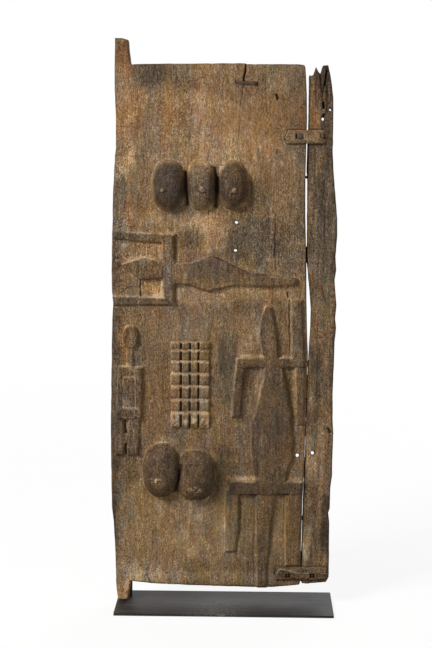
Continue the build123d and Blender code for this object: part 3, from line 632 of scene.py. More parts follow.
def warped(x, z):
    """Places shifted a little, so that straight outlines come out hand-cut."""
    return (
        x + noises(x, z, (1.0, 24, 32, 1), (0.5, 8, 11, 2)),
        z + noises(x, z, (1.0, 28, 26, 3), (0.5, 9, 8, 4)),
    )


def figure_distance(x, z):
    """Distance to the rim of the carved figures, positive on them."""
    return np.max([outline_distance(outline, x, z) for outline, _, _ in RELIEFS], 0)


def main_contour(x, z):
    return figure_distance(*warped(x, z))


def facing(x, z):
    """How far the nearest carved edge looks up, down, left and right, each from 0 to 1; this sets the
    painted highlights and shade on the edges.
    """
    up = (figure_distance(x, z - 2) - figure_distance(x, z + 2)) / 4
    right = (figure_distance(x - 2, z) - figure_distance(x + 2, z)) / 4
    return [np.clip(part, 0, 1) for part in (up, -up, -right, right)]


def main_detail(x, z):
    """Negative where the face needs small cells."""
    wx, wz = warped(x, z)
    fields = [np.abs(outline_distance(outline, wx, wz) - 1.0) - 5.5 for outline, _, _ in RELIEFS]
    fields += [line_distance(line, x, z) - width - 2 for line, width, _, _ in GROOVES]
    fields.append(line_distance(CHEST, x, z) - 4)
    for left, right, top, bottom, *_ in UPPER_BREASTS + LOWER_BREASTS:
        middle = (left + right) / 2
        r = np.hypot((x - middle) / (right - left) * 2, (z - (top + bottom) / 2) / (top - bottom) * 2)
        fields.append((r - 1.12) * 40)
    low, high = GRID_ROWS[-1] - 6, GRID_ROWS[0] + 6
    fields.append(np.maximum(np.maximum(-145 - x, x + 30), np.maximum(low - z, z - high)))
    cx, cz, rx, rz = SMALL_HEAD
    fields.append((np.hypot((x - cx) / rx, (z - cz) / rz) - 1.2) * 20)
    return np.min(fields, 0)


SAG = 0.12


def breast_height(shape, x, z):
    """A sagging dome, and how far out of its middle a place is, 1 at the outline."""
    left, right, top, bottom, _, proud, square_left, square_right, square_ends = shape
    u = (2 * x - left - right) / (right - left)
    v = (2 * z - top - bottom) / (top - bottom)
    q = np.abs(u) ** np.where(u < 0, square_left, square_right) + np.abs(v) ** square_ends
    dome = proud * (1 - SAG * v) * np.sqrt(np.clip(1 - q, 0, None))
    return dome - proud * 0.5 * np.clip(q - 1, 0, 2), q


def grid_height(x, z):
    """Small squares in columns, each highest at its top; and where in its square a place is."""
    best, down, columns = np.zeros((3,) + x.shape)
    shift = 0.9 * noise(x, z, 16, 9, 21)
    for left, right in GRID_COLUMNS:
        columns = np.maximum(columns, smooth((x - left + 1) / 3) * smooth((right + 1 - x) / 3))
    ribs = smooth((x - GRID_COLUMNS[0][0] + 1) / 4) * smooth((GRID_COLUMNS[-1][1] + 3 - x) / 10)
    for top, bottom in zip(GRID_ROWS, GRID_ROWS[1:]):
        part = (top - z + shift) / (top - bottom)
        within = (part >= 0) & (part < 1)
        down = np.where(within, part, down)
        square = smooth(part / 0.18) * (1 - 0.62 * np.clip((part - 0.1) / 0.9, 0, 1)) * columns
        rib = ribs * smooth(1 - np.abs(part - 0.1) / 0.2)
        best = np.where(within, np.maximum(11.5 * square, 9.0 * rib), best)
    return best, down


def raise_figures(x, z, wx, wz, tone, shade, mottle):
    """How far the figures stand out. Patina on their tops, pale worn rims with painted highlights on edges
    facing up and left, and painted shade at their feet and to their right are added to the tone and shade.
    """
    rise, top_tone = np.zeros((2,) + x.shape)
    nearest = np.full(x.shape, -REACH)
    up, down, left, right = facing(wx, wz)
    soft = 5.2 + 4.2 * right - 1.5 * up + 1.2 * noise(x, z, 34, 30, 38)
    for outline, height, patina in RELIEFS:
        d = outline_distance(outline, wx, wz)
        t = np.clip((d + 1.0) / soft, 0, 1)
        rise = np.maximum(rise, height * (1 - (1 - t) ** 2.2))
        nearest = np.maximum(nearest, d)
        top_tone = np.minimum(top_tone, patina * smooth((d - 0.5) / 4))
    cx, cz, rx, rz = SMALL_HEAD
    d = (1 - np.hypot((wx - cx) / rx, (wz - cz) / rz)) * 24
    t = np.clip((d + 1) / 9, 0, 1)
    rise = np.maximum(rise, 13 * np.sqrt(1 - (1 - t) ** 2))
    nearest = np.maximum(nearest, d)
    top_tone = np.minimum(top_tone, -0.17 * smooth((d + 0.5) / 3))
    for line in SMALL_FACE:
        rise -= 1.2 * fade(line_distance(line, x, z), 2.2)

    # The shoulder bar of the lying lizard falls away in a broad incline on its right, darkened with painted
    # shade; beside it the painted shade at the feet is eased.
    cliff = smooth((x + 137) / 12) * smooth((-116 - x) / 7)
    cliff *= smooth((z - 930) / 6) * smooth((1003 - z) / 5) + smooth((870 - z) / 6) * smooth((z - 816) / 5)
    rise *= 1 - 0.8 * cliff
    shade += cliff * (0.4 + 0.3 * noise(x, z, 3.5, 70, 39))
    beside = smooth((x + 140) / 4) * smooth((-104 - x) / 6) * (z > 812) * (z < 1006)

    tone += top_tone + 0.1 * smooth((nearest + 12) / 10) * (nearest < 0)
    # Pale worn rims, brighter as a painted highlight where the edge faces up or left; painted shade at the
    # feet, deepest under the figures, and a broad soft painted shadow to their right.
    rim = band(nearest, 1.0, 2.5) * mottle * smooth((x + 285) / 6)
    tone += rim * (0.1 + 0.2 * up + 0.07 * left)
    foot_shade = band(nearest, -2.0, 2.8) * (1.3 - 0.6 * mottle) * (1 - 0.7 * beside)
    shade += foot_shade * (0.3 + 0.4 * down - 0.1 * right)
    shade += 0.18 * right * smooth(band(nearest, -5, 8)) * (1 - beside)
    return rise


def carve_chest_and_grid(x, z, squares, down, height, tone, shade):
    """The cut lines on the small figure, pale along them with painted shade beside them, and the worn
    squares of the grid: a painted highlight along the top of each row, painted shade down its lower part
    and in the dark slots.
    """
    d = line_distance(CHEST, x, z)
    height -= 4.0 * fade(d, 3.0)
    tone += 0.36 * band(d, 1.0, 2.6)
    for middle, amount in ((-231.5, 0.8), (-271.5, 0.6)):
        shade += amount * band(x, middle, 2.2) * (np.abs(z - 575) < 52)

    in_grid = smooth(squares / 3)
    rough = in_grid * smooth((GRID_ROWS[-2] - 8 - z) / 4)
    height += rough * 1.4 * noise(x, z, 6, 6, 48)
    tone += rough * (0.1 + 0.22 * noise(x, z, 6, 7, 49))
    lip_highlight = band(down, 0.12, 0.2) * (0.9 + 0.5 * noise(x, z, 12, 40, 50))
    slope = smooth((down - 0.55) / 0.45)
    tone += in_grid * (0.25 * lip_highlight + 0.1 - 0.2 * slope + 0.09 * noise(x, z, 22, 33, 59))
    low_part = smooth((down - 0.2) / 0.14) * smooth((1.02 - down) / 0.08)
    low_part *= smooth((x - GRID_COLUMNS[0][0]) / 3) * smooth((GRID_COLUMNS[-1][1] - x) / 3)
    for middle, width in GRID_SLOTS:
        slot = fade(np.abs(x - middle + 0.8 * noise(x, z, 9, 20, 45)), width) * low_part
        height -= 6 * slot
        darken(shade, 0.96 * smooth(1.9 * slot))


def carve_breasts(x, z, height, tone, warm, shade):
    """The breasts with their nipples, lumps and pale marks, and the notches between them; painted shade
    fills the notches, rings the feet of the domes and lies on the upper left breast's right flank.
    """
    bx, bz = x + 1.2 * noise(x, z, 18, 22, 41), z + 1.2 * noise(x, z, 20, 18, 42)
    for shape in UPPER_BREASTS + LOWER_BREASTS:
        dome, q = breast_height(shape, bx, bz)
        nipple_x, nipple_z = shape[4]
        upper = shape in UPPER_BREASTS
        blend, soft, ragged, patina, rim_at, rim_tone = UPPER_LOOK if upper else LOWER_LOOK
        size, light, share = NIPPLES.get(nipple_x, (0, 0, 1.0))
        gap = fade(np.abs(dome - height), blend)
        height[:] = np.maximum(dome, height) + blend * 0.25 * gap * gap
        cap = smooth((0.98 - q + ragged * noise(x, z, 12, 16, 46)) / soft) * share
        tone *= 1 - cap
        tone += cap * (patina + 0.1 * noise(x, z, 11, 14, 43))
        tone += rim_tone * band(q, rim_at, 0.1)
        darken(shade, 0.3 * band(q, 1.28, 0.1))
        if upper:
            r = np.hypot(x - nipple_x, z - nipple_z) * (1 + 0.35 * noise(x, z, 6, 5, 47))
            height += 4.5 * np.sqrt(np.clip(1 - (r / size) ** 2, 0, 1)) - 1.4 * band(r, size + 2, 3)
            tone += light * smooth((size - r) / 4) * (0.8 + 0.4 * noise(x, z, 4, 4, 40))
            warm -= (warm + 0.8) * smooth((size + 4 - r) / 4)
        else:
            height += 2.4 * smooth((8 - np.hypot(x - nipple_x, z - nipple_z)) / 6)
            wide = np.hypot((x - nipple_x) / 2.2, z - nipple_z)
            tone += 0.62 * smooth((12 - wide) / 7) * smooth((noise(x, z, 3.4, 3.4, 44) + 0.1) / 0.5)
    for cx, cz, radius, proud, light in LUMPS:
        r = np.hypot(x - cx, z - cz) * (1 + 0.3 * noise(x, z, 6, 5, 60)) / radius
        height += proud * smooth(1.2 - r)
        tone += light * smooth(1.4 - r)
    for line, width in NOTCHES:
        d = line_distance(line, x, z, 20.0)
        height -= 8 * fade(d, width)
        darken(shade, 0.95 * smooth(1.5 - d / width))
        darken(shade, 0.5 * smooth(1.4 - d / (2.6 * width)))
    darken(shade, 0.35 * smooth(1 - np.abs(x + 112) / 12) * smooth(1.2 - np.abs(z - 1115) / 52))


def main_face(x, z):
    """Depth, tone, warmth and shade of the carved face."""
    outer = outline_distance(MAIN, x, z)
    wx, wz = warped(x, z)
    fibre = noise(x, z, 3.6, 30, 35)
    ground = noises(x, z, (0.9, 80, 170, 31), (0.5, 14, 95, 32), (0.32, 6, 42, 33), (0.22, 7, 9, 34))
    ground += 0.16 * fibre
    for outline, depth in HOLLOWS:
        ground -= depth * smooth((outline_distance(outline, wx, wz) + 3) / 7)
    tone = BARE_WOOD + patches(PATCHES, x, z)
    warm = patches(REDS, x, z)
    shade = np.zeros(x.shape)
    mottle = np.clip(0.6 + noises(x, z, (0.8, 30, 26, 36), (0.45, 9, 8, 37)), 0, 1.3)
    squares, down = grid_height(x, z)
    rise = np.maximum(raise_figures(x, z, wx, wz, tone, shade, mottle), squares)
    height = ground * np.where(rise > 1, 0.7, 1) + rise
    carve_chest_and_grid(x, z, squares, down, height, tone, shade)
    carve_breasts(x, z, height, tone, warm, shade)

    wobble = noises(x, z, (1.5, 30, 17, 56), (0.6, 9, 6, 57))
    broken = 0.85 + 0.3 * noise(x, z, 12, 12, 58)
    for line, width, depth, dark in GROOVES:
        d = line_distance(line, x + wobble, z + wobble * 0.5)
        height -= depth * fade(d, width)
        darken(shade, dark * np.clip(1.25 * broken - d / (width + 0.6), 0, 1))
    for line, width, light in HIGHLIGHT_LINES:
        d = line_distance(line, x + wobble, z + wobble * 0.5)
        tone += light * smooth(1.4 - d / width) * (0.4 + 0.6 * mottle)
    seats_and_holes(x, z, height, shade, MAIN_HOLES, 0.2)

    for turn, spot, seed in SCRATCHES:
        u, v = x * math.cos(turn) + z * math.sin(turn), z * math.cos(turn) - x * math.sin(turn)
        tone += 0.2 * smooth((noise(u, v, 2.8, 26, seed) - 0.5) / 0.4) * patches([spot], x, z)
    tone += 0.05 * fibre + noises(
        x, z, (0.04, 12, 60, 51), (0.03, 40, 60, 52), (0.03, 6, 190, 54), (0.02, 18, 300, 55))
    # Along the seam the edge is paler below and carries painted shade of the gap above; the top and left
    # edges are darkened.
    along_seam = x > 200
    tone -= 0.12 * smooth(1 - outer / 7) * np.where(along_seam, 0.3, 1)
    edge = smooth(1 - outer / 2.5) * along_seam
    tone += 0.2 * edge * (z < 720)
    shade += 0.6 * edge * (z > 760)
    shade += 0.35 * smooth(1 - outer / 2.6) * ((x < -262) | (z > TOP))
    radius = 4.5 + 1.5 * noise(x, z, 22, 30, 53) + np.where((z > 1452) | (z < 56), 3.0, 0.0)
    radius = np.where(x > 195, 3.0, radius)
    y = thinned(z) + round_over(np.maximum(outer, 0), radius) - height
    return y, tone, warm, np.clip(shade, 0, 1)


def plain_back(depth, outline, keep_flat=()):
    """The adzed back of a plank, flat where the brackets and the staples lie on it."""

    def back(x, z):
        outer = np.maximum(outline_distance(outline, x, z), 0)
        free = np.ones(x.shape)
        for left, right, low, high in keep_flat:
            d = np.maximum(np.maximum(left - x, x - right), np.maximum(low - z, z - high))
            free = np.minimum(free, smooth(d / 14))
        wave = 1.2 + 0.7 * noise(x, z, 70, 150, 61) + 0.5 * np.abs(noise(x, z, 32, 26, 62))
        wave += 0.25 * noise(x, z, 9, 60, 63)
        thin = thinned(z) if depth == PLANK else 0
        y = depth - thin - round_over(outer, 5.0) - np.maximum(wave, 0) * free
        tone = 0.46 + noises(x, z, (0.09, 60, 170, 64), (0.06, 14, 80, 65)) - 0.1 * smooth(1 - outer / 9)
        return y, tone, 0.25 + 0.25 * noise(x, z, 60, 120, 66), np.zeros(x.shape)

    return back


# How wide the seam between the planks stays open: height, width.
SEAM = [
    (66, 0), (141, 0), (150, 1.3), (230, 1.4), (234, 0), (239, 0), (244, 1.4), (285, 1.5), (300, 1.0),
    (307, 1.1), (340, 1.2), (350, 0.2), (386, 0.6), (396, 0.2), (404, 1.1), (458, 1.1), (466, 0), (496, 0),
    (506, 1.2), (515, 0), (622, 0), (628, 1.3), (645, 1.4), (650, 0), (660, 0), (666, 1.4), (677, 3.4),
    (709, 5.4), (744, 8), (776, 11.5), (824, 12), (856, 8), (889, 4.6), (922, 2), (930, 0), (966, 0),
    (972, 2.2), (989, 3.2), (1055, 4.6), (1080, 5.0), (1147, 5.0), (1155, 4), (1169, 2.9), (1234, 2.6),
    (1299, 3.6), (1364, 4.8), (1400, 6.8), (1447, 9),
]
SEAM_REACH = 13.5
PLANK_RINGS = 7


def plank_wall(other, swells):
    """The rim wall of a plank, of which one swells over the seam to leave it only as wide as above; beside
    the seam the wall is darkened with painted shade, more on the swelling one.
    """

    def wall(x, y, z, part):
        push = -0.5 - 0.5 * noise(z + 3 * x, y * 9, 24, 40, 71) - 0.35 * noise(z + 3 * x, y, 60, 3.4, 72)
        push = np.minimum(push, 0)
        tone = 0.36 + 0.1 * noise(z + 2 * x, y, 70, 4, 73) + 0.06 * noise(z - x, y, 12, 6, 74)
        gap = -outline_distance(other, x, z)
        beside = (gap < SEAM_REACH) & (z < TOP)
        seam = beside & (z > 66) & (part > 0.2) & (part < 0.9)
        opening = np.interp(z, *zip(*SEAM)) + 0.3 * noise(z, y, 12, 90, 75)
        target = np.maximum(gap - opening - 0.3, push) if swells else 0.3
        push = np.where(seam, target, push)
        return push, tone, np.full(x.shape, 0.15), np.where(beside, 0.85 if swells else 0.5, 0)

    return wall


def lean(holes):
    """How far the holes (x, z, fall) run down on their way through the plank."""
    return lambda x, z: sum(fall * smooth((13 - np.hypot(x - cx, z - cz)) / 8) for cx, cz, fall in holes)


# Where the brackets and the staples' legs lie on the back: left, right, low, high.
MAIN_FLAT = [
    (-282, -108, 1116, 1160), (-282, -108, 298, 342), (170, 212, 1254, 1270), (170, 212, 77, 93),
]
main_plank = slab(
    "main_plank_wood", (-302, 228, 7, 1522), STEP, worn_outline(MAIN, MAIN_HOLES, lambda x: x > 190, 11),
    main_contour, main_detail, main_face, plain_back(PLANK, MAIN, MAIN_FLAT),
    plank_wall(SIDE, False), PLANK_RINGS, lean([(199.5, 411.4, 6.5)]),
)

# ---------------------------------------------------------------- the side plank

# Cracks and cuts in the side plank, with painted shade in them: line, half width, depth, darkness.
SIDE_GROOVES = [
    ([(269, 1434), (266, 1415), (264, 1396)], 2.6, 13, 1.0), ([(270, 1448), (269, 1434)], 1.8, 3, 0.5),
    ([(261, 1350), (261.5, 1337)], 3.4, 13, 1.0), ([(262.5, 1319), (261, 1314)], 3.4, 13, 1.0),
    ([(251, 1424), (254, 1400), (259, 1376)], 2.2, 4, 0.5),
    ([(262, 1392), (257, 1366), (261, 1350)], 1.8, 3, 0.5),
    ([(269, 1380), (270, 1350), (267, 1318)], 1.8, 3, 0.45), ([(240, 1400), (242, 1340)], 1.6, 2, 0.35),
    ([(270, 1394), (274, 1350), (272, 1325)], 2.0, 4, 0.5), ([(280, 486), (287, 474)], 3.4, 7, 0.9),
    ([(262, 1300), (266, 1284)], 2.0, 3, 0.5), ([(240, 1230), (242, 1100)], 1.6, 2, 0.35),
    ([(268, 1080), (266, 900)], 1.6, 2, 0.35), ([(252, 760), (250, 560)], 1.6, 2, 0.3),
    ([(262, 860), (270, 830)], 1.8, 2.5, 0.5),
]
# The wood is rotten above this height.
ROT_LINE = 1330


def side_detail(x, z):
    """Negative where the face needs small cells."""
    fields = [line_distance(line, x, z) - width - 2 for line, width, _, _ in SIDE_GROOVES]
    return np.min(fields + [ROT_LINE + 10 - z], 0)


def side_face(x, z):
    """Depth, tone, warmth and shade of the side plank's face."""
    outer = outline_distance(SIDE, x, z)
    fibre = noise(x, z, 3.8, 36, 135)
    height = noises(x, z, (0.9, 30, 170, 131), (0.7, 9, 100, 132), (0.3, 5, 12, 134)) + 0.3 * fibre - 0.6
    rotten = smooth((z - ROT_LINE) / 60)
    height -= rotten * (1.5 + noises(x, z, (1.5, 6, 24, 136), (1.2, 12, 50, 137)))
    tone = 0.375 + patches(PATCHES, x, z) + 0.07 * fibre - 0.1 * rotten
    tone += noises(x, z, (0.12, 6, 90, 151), (0.07, 26, 60, 152))
    warm = patches(REDS, x, z) + 0.28 * noise(x, z, 7, 80, 153)
    shade = np.zeros(x.shape)
    for line, width, depth, dark in SIDE_GROOVES:
        d = line_distance(line, x, z) + 0.6 * noise(x, z, 5, 9, 154)
        height -= depth * smooth(1.2 - d / width)
        darken(shade, dark * np.clip(1.3 - d / (width + 0.5), 0, 1))
    seats_and_holes(x, z, height, shade, SIDE_HOLES, 0.1)
    tone -= 0.1 * smooth(1 - outer / 7)
    shade += 0.45 * smooth(1 - outer / 2.8) * (x > 250)
    radius = np.where(x < 236, 3.0, 6.0 + 1.5 * noise(x, z, 22, 30, 155))
    y = round_over(np.maximum(outer, 0), radius) - height
    return y, tone, warm, np.clip(shade, 0, 1)


side_plank = slab(
    "side_plank_wood", (211, 304, 60, 1452), STEP, worn_outline(SIDE, SIDE_HOLES, lambda x: x < 240, 12),
    NO_CONTOUR, side_detail, side_face, plain_back(SIDE_PLANK, SIDE),
    plank_wall(MAIN, True), PLANK_RINGS, lean([(239.8, 418.5, 6.5), (279.0, 1333.3, 2.2)]),
)

# ---------------------------------------------------------------- cleats

CLEAT_STEP = 1.25
CLEAT_RINGS = 5
CLEAT_BACK = 5.8


def cleat_slab(name, outline, face, bounds):
    """A cleat: its face as asked for, and a flat back in the planks' seats."""

    def outline_at(x, z):
        return outline_distance(outline, x, z) - 0.5 - 0.5 * noise(x, z, 9, 8, 171)

    def back(x, z):
        return [np.full(x.shape, value) for value in (CLEAT_BACK, 0.3, 0.0, 0.0)]

    def wall(x, y, z, part):
        push = np.minimum(-0.2 + 0.3 * noise(x + z, y, 9, 3, 172), 0)
        return push, *(np.full(x.shape, value) for value in (0.45, 0.0, 0.0))

    small = everywhere(-1.0)
    return slab(name, bounds, CLEAT_STEP, outline_at, NO_CONTOUR, small, face, back, wall, CLEAT_RINGS)


def box_distance(x, z, cx, cz, rx, rz):
    """0 in the middle of an upright rectangle and 1 at its rim."""
    return np.maximum(np.abs(x - cx) / rx, np.abs(z - cz) / rz)


def upper_cleat_face(x, z):
    """Depth, tone, warmth and shade of the upper cleat, with the staple's bent ends let in."""
    outer = outline_distance(UPPER_CLEAT, x, z)
    height = 8 - 5.5 * smooth((x - 258) / 13) - 1.2 * np.abs(z - 1261) / 18
    height += noises(x, z, (0.4, 40, 5, 181), (0.2, 16, 3, 182))
    shade = np.zeros(x.shape)
    # The seats of the two bent ends, and the slits beside them, darkened with painted shade, the slits
    # almost black.
    for cx, cz, rx, rz in ((199, 1262.3, 11, 7.2), (259, 1264, 6.4, 6.6)):
        d = box_distance(x, z, cx, cz, rx, rz)
        height -= 3.0 * smooth((1.15 - d) / 0.25)
        darken(shade, 0.3 * smooth((1.2 - d) / 0.3))
    for cx, rx in ((190.5, 1.8), (265.5, 2.2)):
        d = box_distance(x, z, cx, 1263, rx, 5.6)
        height -= 3 * smooth((1.2 - d) / 0.4)
        darken(shade, 0.95 * smooth((1.3 - d) / 0.4))
    height -= 1.2 * fade(line_distance([(222, 1268), (248, 1266)], x, z), 1.6)
    tone = 0.44 + 0.12 * noise(x, z, 26, 4, 183) - 0.04 * smooth(1 - outer / 5)
    # Paler along the top and the left end, darker along the bottom and right, as a painted highlight and
    # painted shade.
    tone += 0.16 * band(outer, 2.2, 2) * np.where((z > 1262) | (x < 172), 1, -0.6)
    y = round_over(np.maximum(outer, 0), 3.6) - height
    return y, tone, -0.1 + 0.2 * noise(x, z, 20, 9, 184), shade


def lower_cleat_face(x, z):
    """Depth, tone, warmth and shade of the lower cleat, with its ridge and two square holes."""
    outer = outline_distance(LOWER_CLEAT, x, z)
    height = 7.2 - 1.5 * np.abs(z - 90) / 18 + noises(x, z, (0.4, 40, 5, 191), (0.2, 16, 3, 192))
    ridge = [(146, 88), (150, 99), (156, 103.5), (172, 100), (195, 94), (218, 91.5), (230, 92)]
    ridge = line_distance(ridge, x, z)
    height += 1.6 * smooth(1 - ridge / 3.2)
    tone = 0.27 + 0.09 * noise(x, z, 22, 5, 193) - 0.06 * smooth(1 - outer / 5)
    # The ridge's crest and the top edge are painted pale as highlights; the square holes and a line along
    # the lower edge get painted shade.
    tone += 0.4 * smooth(1.2 - ridge / 3.0)
    tone += 0.22 * band(outer, 3, 1.6) * (z > 100) * (x > 190)
    shade = np.zeros(x.shape)
    for cx in (176, 241):
        d = box_distance(x, z, cx, 85, 6.0, 5.2)
        height -= 7 * smooth((1.1 - d) / 0.2)
        darken(shade, 0.95 * smooth((1.25 - d) / 0.25))
    darken(shade, 0.4 * fade(line_distance([(184, 79), (232, 78)], x, z), 1.6))
    y = round_over(np.maximum(outer, 0), 4.5) - height
    return y, tone, -0.6 + 0.2 * noise(x, z, 20, 9, 194), shade


upper_cleat = cleat_slab("upper_cleat_wood", UPPER_CLEAT, upper_cleat_face, (158, 273, 1240, 1282))
lower_cleat = cleat_slab("lower_cleat_wood", LOWER_CLEAT, lower_cleat_face, (138, 284, 70, 112))

# ---------------------------------------------------------------- iron staples


BAR_STEP = 1.2
BAR_SIDES = 12


def forged_bar(name, path, seed, dusty=0.0):
    """A hammered square bar along points (x, y, z, half width across y, half width across z)."""
    nodes = np.array(path, float)
    for _ in range(2):
        soft = [nodes[0]]
        for a, b in zip(nodes, nodes[1:]):
            soft += [a * 0.8 + b * 0.2, a * 0.2 + b * 0.8]
        nodes = np.array(soft + [nodes[-1]])
    fine = [nodes[0]]
    for a, b in zip(nodes, nodes[1:]):
        steps = max(1, int(np.linalg.norm(b[:3] - a[:3]) / BAR_STEP))
        fine += [a + (b - a) * k / steps for k in range(1, steps + 1)]
    nodes = np.array(fine)
    rng = np.random.default_rng(seed)
    corners = []
    for k, node in enumerate(nodes):
        ahead = nodes[min(k + 1, len(nodes) - 1), :3] - nodes[max(k - 1, 0), :3]
        ahead /= np.linalg.norm(ahead) + TINY
        across = np.cross((0.0, 0, 1), ahead)
        across /= np.linalg.norm(across) + TINY
        over = np.cross(ahead, across)
        for s in range(BAR_SIDES):
            angle = 2 * math.pi * (s + 0.5) / BAR_SIDES
            c, n = math.cos(angle), math.sin(angle)
            swell = 1 / max(abs(c), abs(n)) * 0.88 + 0.12
            swell = min(swell, 1.22) * (1 + 0.05 * rng.uniform(-1, 1))
            corners.append(node[:3] + across * c * swell * node[3] + over * n * swell * node[4])
    faces = []
    for start in range(0, len(corners) - BAR_SIDES, BAR_SIDES):
        for s in range(BAR_SIDES):
            a, b = start + s, start + (s + 1) % BAR_SIDES
            faces.append([a, b, b + BAR_SIDES, a + BAR_SIDES])
    faces.append(list(reversed(range(BAR_SIDES))))
    faces.append(list(range(len(corners) - BAR_SIDES, len(corners))))
    return piece(name, np.array(corners) * MM, faces, {"dusty": np.full(len(corners), dusty)})


upper_staple = forged_bar("upper_cleat_iron", [
    (193.4, -6.6, 1262, 0.9, 3.4), (197, -7.4, 1262, 1.3, 4.6), (205.5, -7.6, 1262, 1.5, 5.2),
    (205.5, 0, 1262, 2.5, 2.5), (205.5, 36.5, 1262, 2.4, 2.4), (257, 36.5, 1263, 2.4, 2.4),
    (257, 0, 1263, 2.5, 2.5), (257, -7.2, 1263, 1.5, 5.0), (262.5, -6.6, 1263, 1.2, 4.4),
], 201, 0.6)
lower_path = [(176, -3.9), (176, 18), (176, 36.5), (241, 36.5), (241, 18), (241, -3.9)]
lower_staple = forged_bar("lower_cleat_iron", [(x, y, 85, 2.4, 2.4) for x, y in lower_path], 202)
crack_staple = forged_bar("crack_staple_iron", [
    (33.5, 19.5, 1403.5, 2.3, 2.3), (33.5, 4, 1403.5, 2.3, 3.2), (33.7, -2, 1403.5, 1.8, 4.4),
    (58, -2.1, 1401.5, 1.7, 4.3), (83.0, -2, 1400.5, 1.8, 5.2), (83.4, 4, 1399, 2.3, 3.2),
    (83.4, 19.5, 1399, 2.3, 2.3),
], 203)

# ---------------------------------------------------------------- materials


def linear(red, green, blue):
    """A colour as written in 0 to 255, for a shader."""
    channel = lambda c: c / 12.92 if c <= 0.04045 else ((c + 0.055) / 1.055) ** 2.4
    return (channel(red / 255), channel(green / 255), channel(blue / 255), 1.0)


class Nodes:
    """The nodes of a material or world, with short calls to make and join them."""

    def __init__(self, owner):
        owner.use_nodes = True
        self.tree = owner.node_tree
        self.tree.nodes.clear()

    def add(self, kind, **inputs):
        node = self.tree.nodes.new(kind)
        for name, value in inputs.items():
            self.put(node.inputs[name], value)
        return node

    def put(self, socket, value):
        if isinstance(value, bpy.types.NodeSocket):
            self.tree.links.new(value, socket)
        else:
            socket.default_value = value

    def math(self, operation, a, b=0.0, clamp=False):
        node = self.add("ShaderNodeMath")
        node.operation = operation
        node.use_clamp = clamp
        self.put(node.inputs[0], a)
        self.put(node.inputs[1], b)
        return node.outputs[0]

    def plus(self, a, b, clamp=False):
        return self.math("ADD", a, b, clamp)

    def times(self, a, b, clamp=False):
        return self.math("MULTIPLY", a, b, clamp)

    def spread(self, value, low, high, to_low=0.0, to_high=1.0):
        limits = {"From Min": low, "From Max": high, "To Min": to_low, "To Max": to_high}
        return self.add("ShaderNodeMapRange", Value=value, **limits).outputs[0]

    def swing(self, value, low, high, amount):
        """From -amount where the value is low to amount where it is high."""
        return self.spread(value, low, high, -amount, amount)


class Shader(Nodes):
    """A material of its own."""

    def __init__(self, name):
        self.material = bpy.data.materials.new(name)
        super().__init__(self.material)
        self.output = self.add("ShaderNodeOutputMaterial")
        self.bsdf = self.add("ShaderNodeBsdfPrincipled")
        self.put(self.output.inputs[0], self.bsdf.outputs[0])
        self.place = self.add("ShaderNodeTexCoord").outputs["Object"]

    def mark(self, name):
        """A value that the mesh holds at its points."""
        node = self.add("ShaderNodeAttribute")
        node.attribute_name = name
        return node.outputs["Fac"]

    def noise(self, scale, stretch=(1, 1, 1), detail=3.0, roughness=0.6, distortion=0.0):
        place = self.add("ShaderNodeMapping", Vector=self.place, Scale=stretch).outputs[0]
        looks = {"Scale": scale, "Detail": detail, "Roughness": roughness, "Distortion": distortion}
        return self.add("ShaderNodeTexNoise", Vector=place, **looks).outputs["Fac"]

    def ramp(self, value, stops):
        node = self.add("ShaderNodeValToRGB")
        self.put(node.inputs[0], value)
        items = node.color_ramp.elements
        while len(items) < len(stops):
            items.new(0.5)
        for item, (position, colour) in zip(items, stops):
            item.position = position
            item.color = colour
        return node.outputs[0]

    def mix(self, factor, a, b, kind="MIX"):
        node = self.add("ShaderNodeMix")
        node.data_type = "RGBA"
        node.blend_type = kind
        self.put(node.inputs[0], factor)
        self.put(node.inputs[6], a)
        self.put(node.inputs[7], b)
        return node.outputs[2]

    def tinted(self, factor, colour, tint):
        """The colour, multiplied by a tint as far as the factor says."""
        return self.mix(factor, colour, self.mix(1.0, colour, linear(*tint), "MULTIPLY"))

    def bump(self, height, strength, distance):
        node = self.add("ShaderNodeBump", Height=height, Strength=strength, Distance=distance)
        self.put(self.bsdf.inputs["Normal"], node.outputs[0])

    def finish(self, colour, roughness, specular):
        """The surface's colour, roughness and specular level; the material is ready."""
        self.put(self.bsdf.inputs["Base Color"], colour)
        self.put(self.bsdf.inputs["Roughness"], roughness)
        self.bsdf.inputs["Specular IOR Level"].default_value = specular
        return self.material


